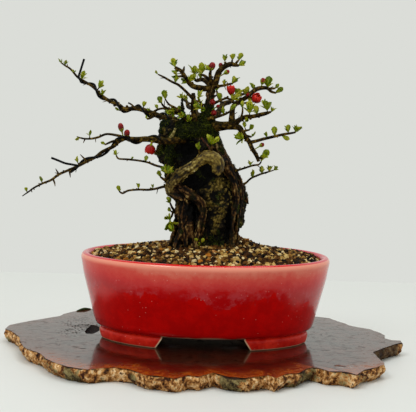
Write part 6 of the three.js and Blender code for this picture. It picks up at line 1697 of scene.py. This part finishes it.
draw = random.Random(41)
moss_tufts = kept_aside("moss_tufts", [moss_tuft(f"moss_tuft_{number}", draw)
                                       for number in range(TUFT_KINDS)])
moss_leaves = living_moss()
fit(moss_cover(rock, "moss_on_rock", 0.62, 6), "mossy_rock")
fit(moss_cover(roots, "moss_on_trunk", 0.45, 7), "quince_bark")

# Studio: a plain pale floor that ends behind the slab, an even pale surround and two soft lamps, given by
# place, target, size and watts. The camera stands at the photograph's viewing angle.
FLOOR_CORNERS = [(-2500, -1500, -0.1), (2500, -1500, -0.1), (2500, 470, -0.1), (-2500, 470, -0.1)]
LAMPS = {"key_lamp": ((-0.7, -0.7, 1.4), (0, 0, 0.12), 0.5, 7),
         "top_lamp": ((0.3, 0.1, 1.5), (0, 0, 0.1), 0.8, 6)}
CAMERA_PLACE = (0.0009, -1.1, 0.22)
CAMERA_PITCH = 4.66
CAMERA_ROLL = 1.59
IMAGE_WIDTH = 416
FOCAL_LENGTH_IN_PIXELS = 1225
SENSOR_WIDTH = 36


def matt_floor():
    """Plain matt laminate, slightly cool white."""
    material, add, place = start_material("pale_laminate")
    mottle = add("TexNoise", place, Scale=pitch(300), Detail=1)
    colour = add("Mix", mottle, "#dcdedb", "#d8dad7")
    add("OutputMaterial", add("BsdfPrincipled", Base_Color=colour, Roughness=0.5))
    return material


floor = new_piece("floor", FLOOR_CORNERS, [(0, 1, 2, 3)])
coat(floor, matt_floor())
floor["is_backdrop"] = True

world = bpy.data.worlds.new("even_surround")
world.use_nodes = True
surround = world.node_tree.nodes["Background"]
surround.inputs["Color"].default_value = linear("#dbddd8")
surround.inputs["Strength"].default_value = 1
bpy.context.scene.world = world
for name, (place, target, size, watts) in LAMPS.items():
    light = bpy.data.lights.new(name, "AREA")
    light.size = size
    light.energy = watts
    facing = (Vector(target) - Vector(place)).to_track_quat("-Z", "Y").to_matrix().to_4x4()
    linked(name, light).matrix_world = Matrix.Translation(place) @ facing

camera_data = bpy.data.cameras.new("camera")
camera_data.sensor_width = SENSOR_WIDTH
camera_data.lens = FOCAL_LENGTH_IN_PIXELS / IMAGE_WIDTH * SENSOR_WIDTH
camera = linked("camera", camera_data)
camera.matrix_world = (Matrix.Translation(CAMERA_PLACE)
                       @ Matrix.Rotation(math.radians(90 - CAMERA_PITCH), 4, "X")
                       @ Matrix.Rotation(math.radians(CAMERA_ROLL), 4, "Z"))
bpy.context.scene.camera = camera
bpy.context.scene.view_settings.view_transform = "Standard"

low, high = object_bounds()
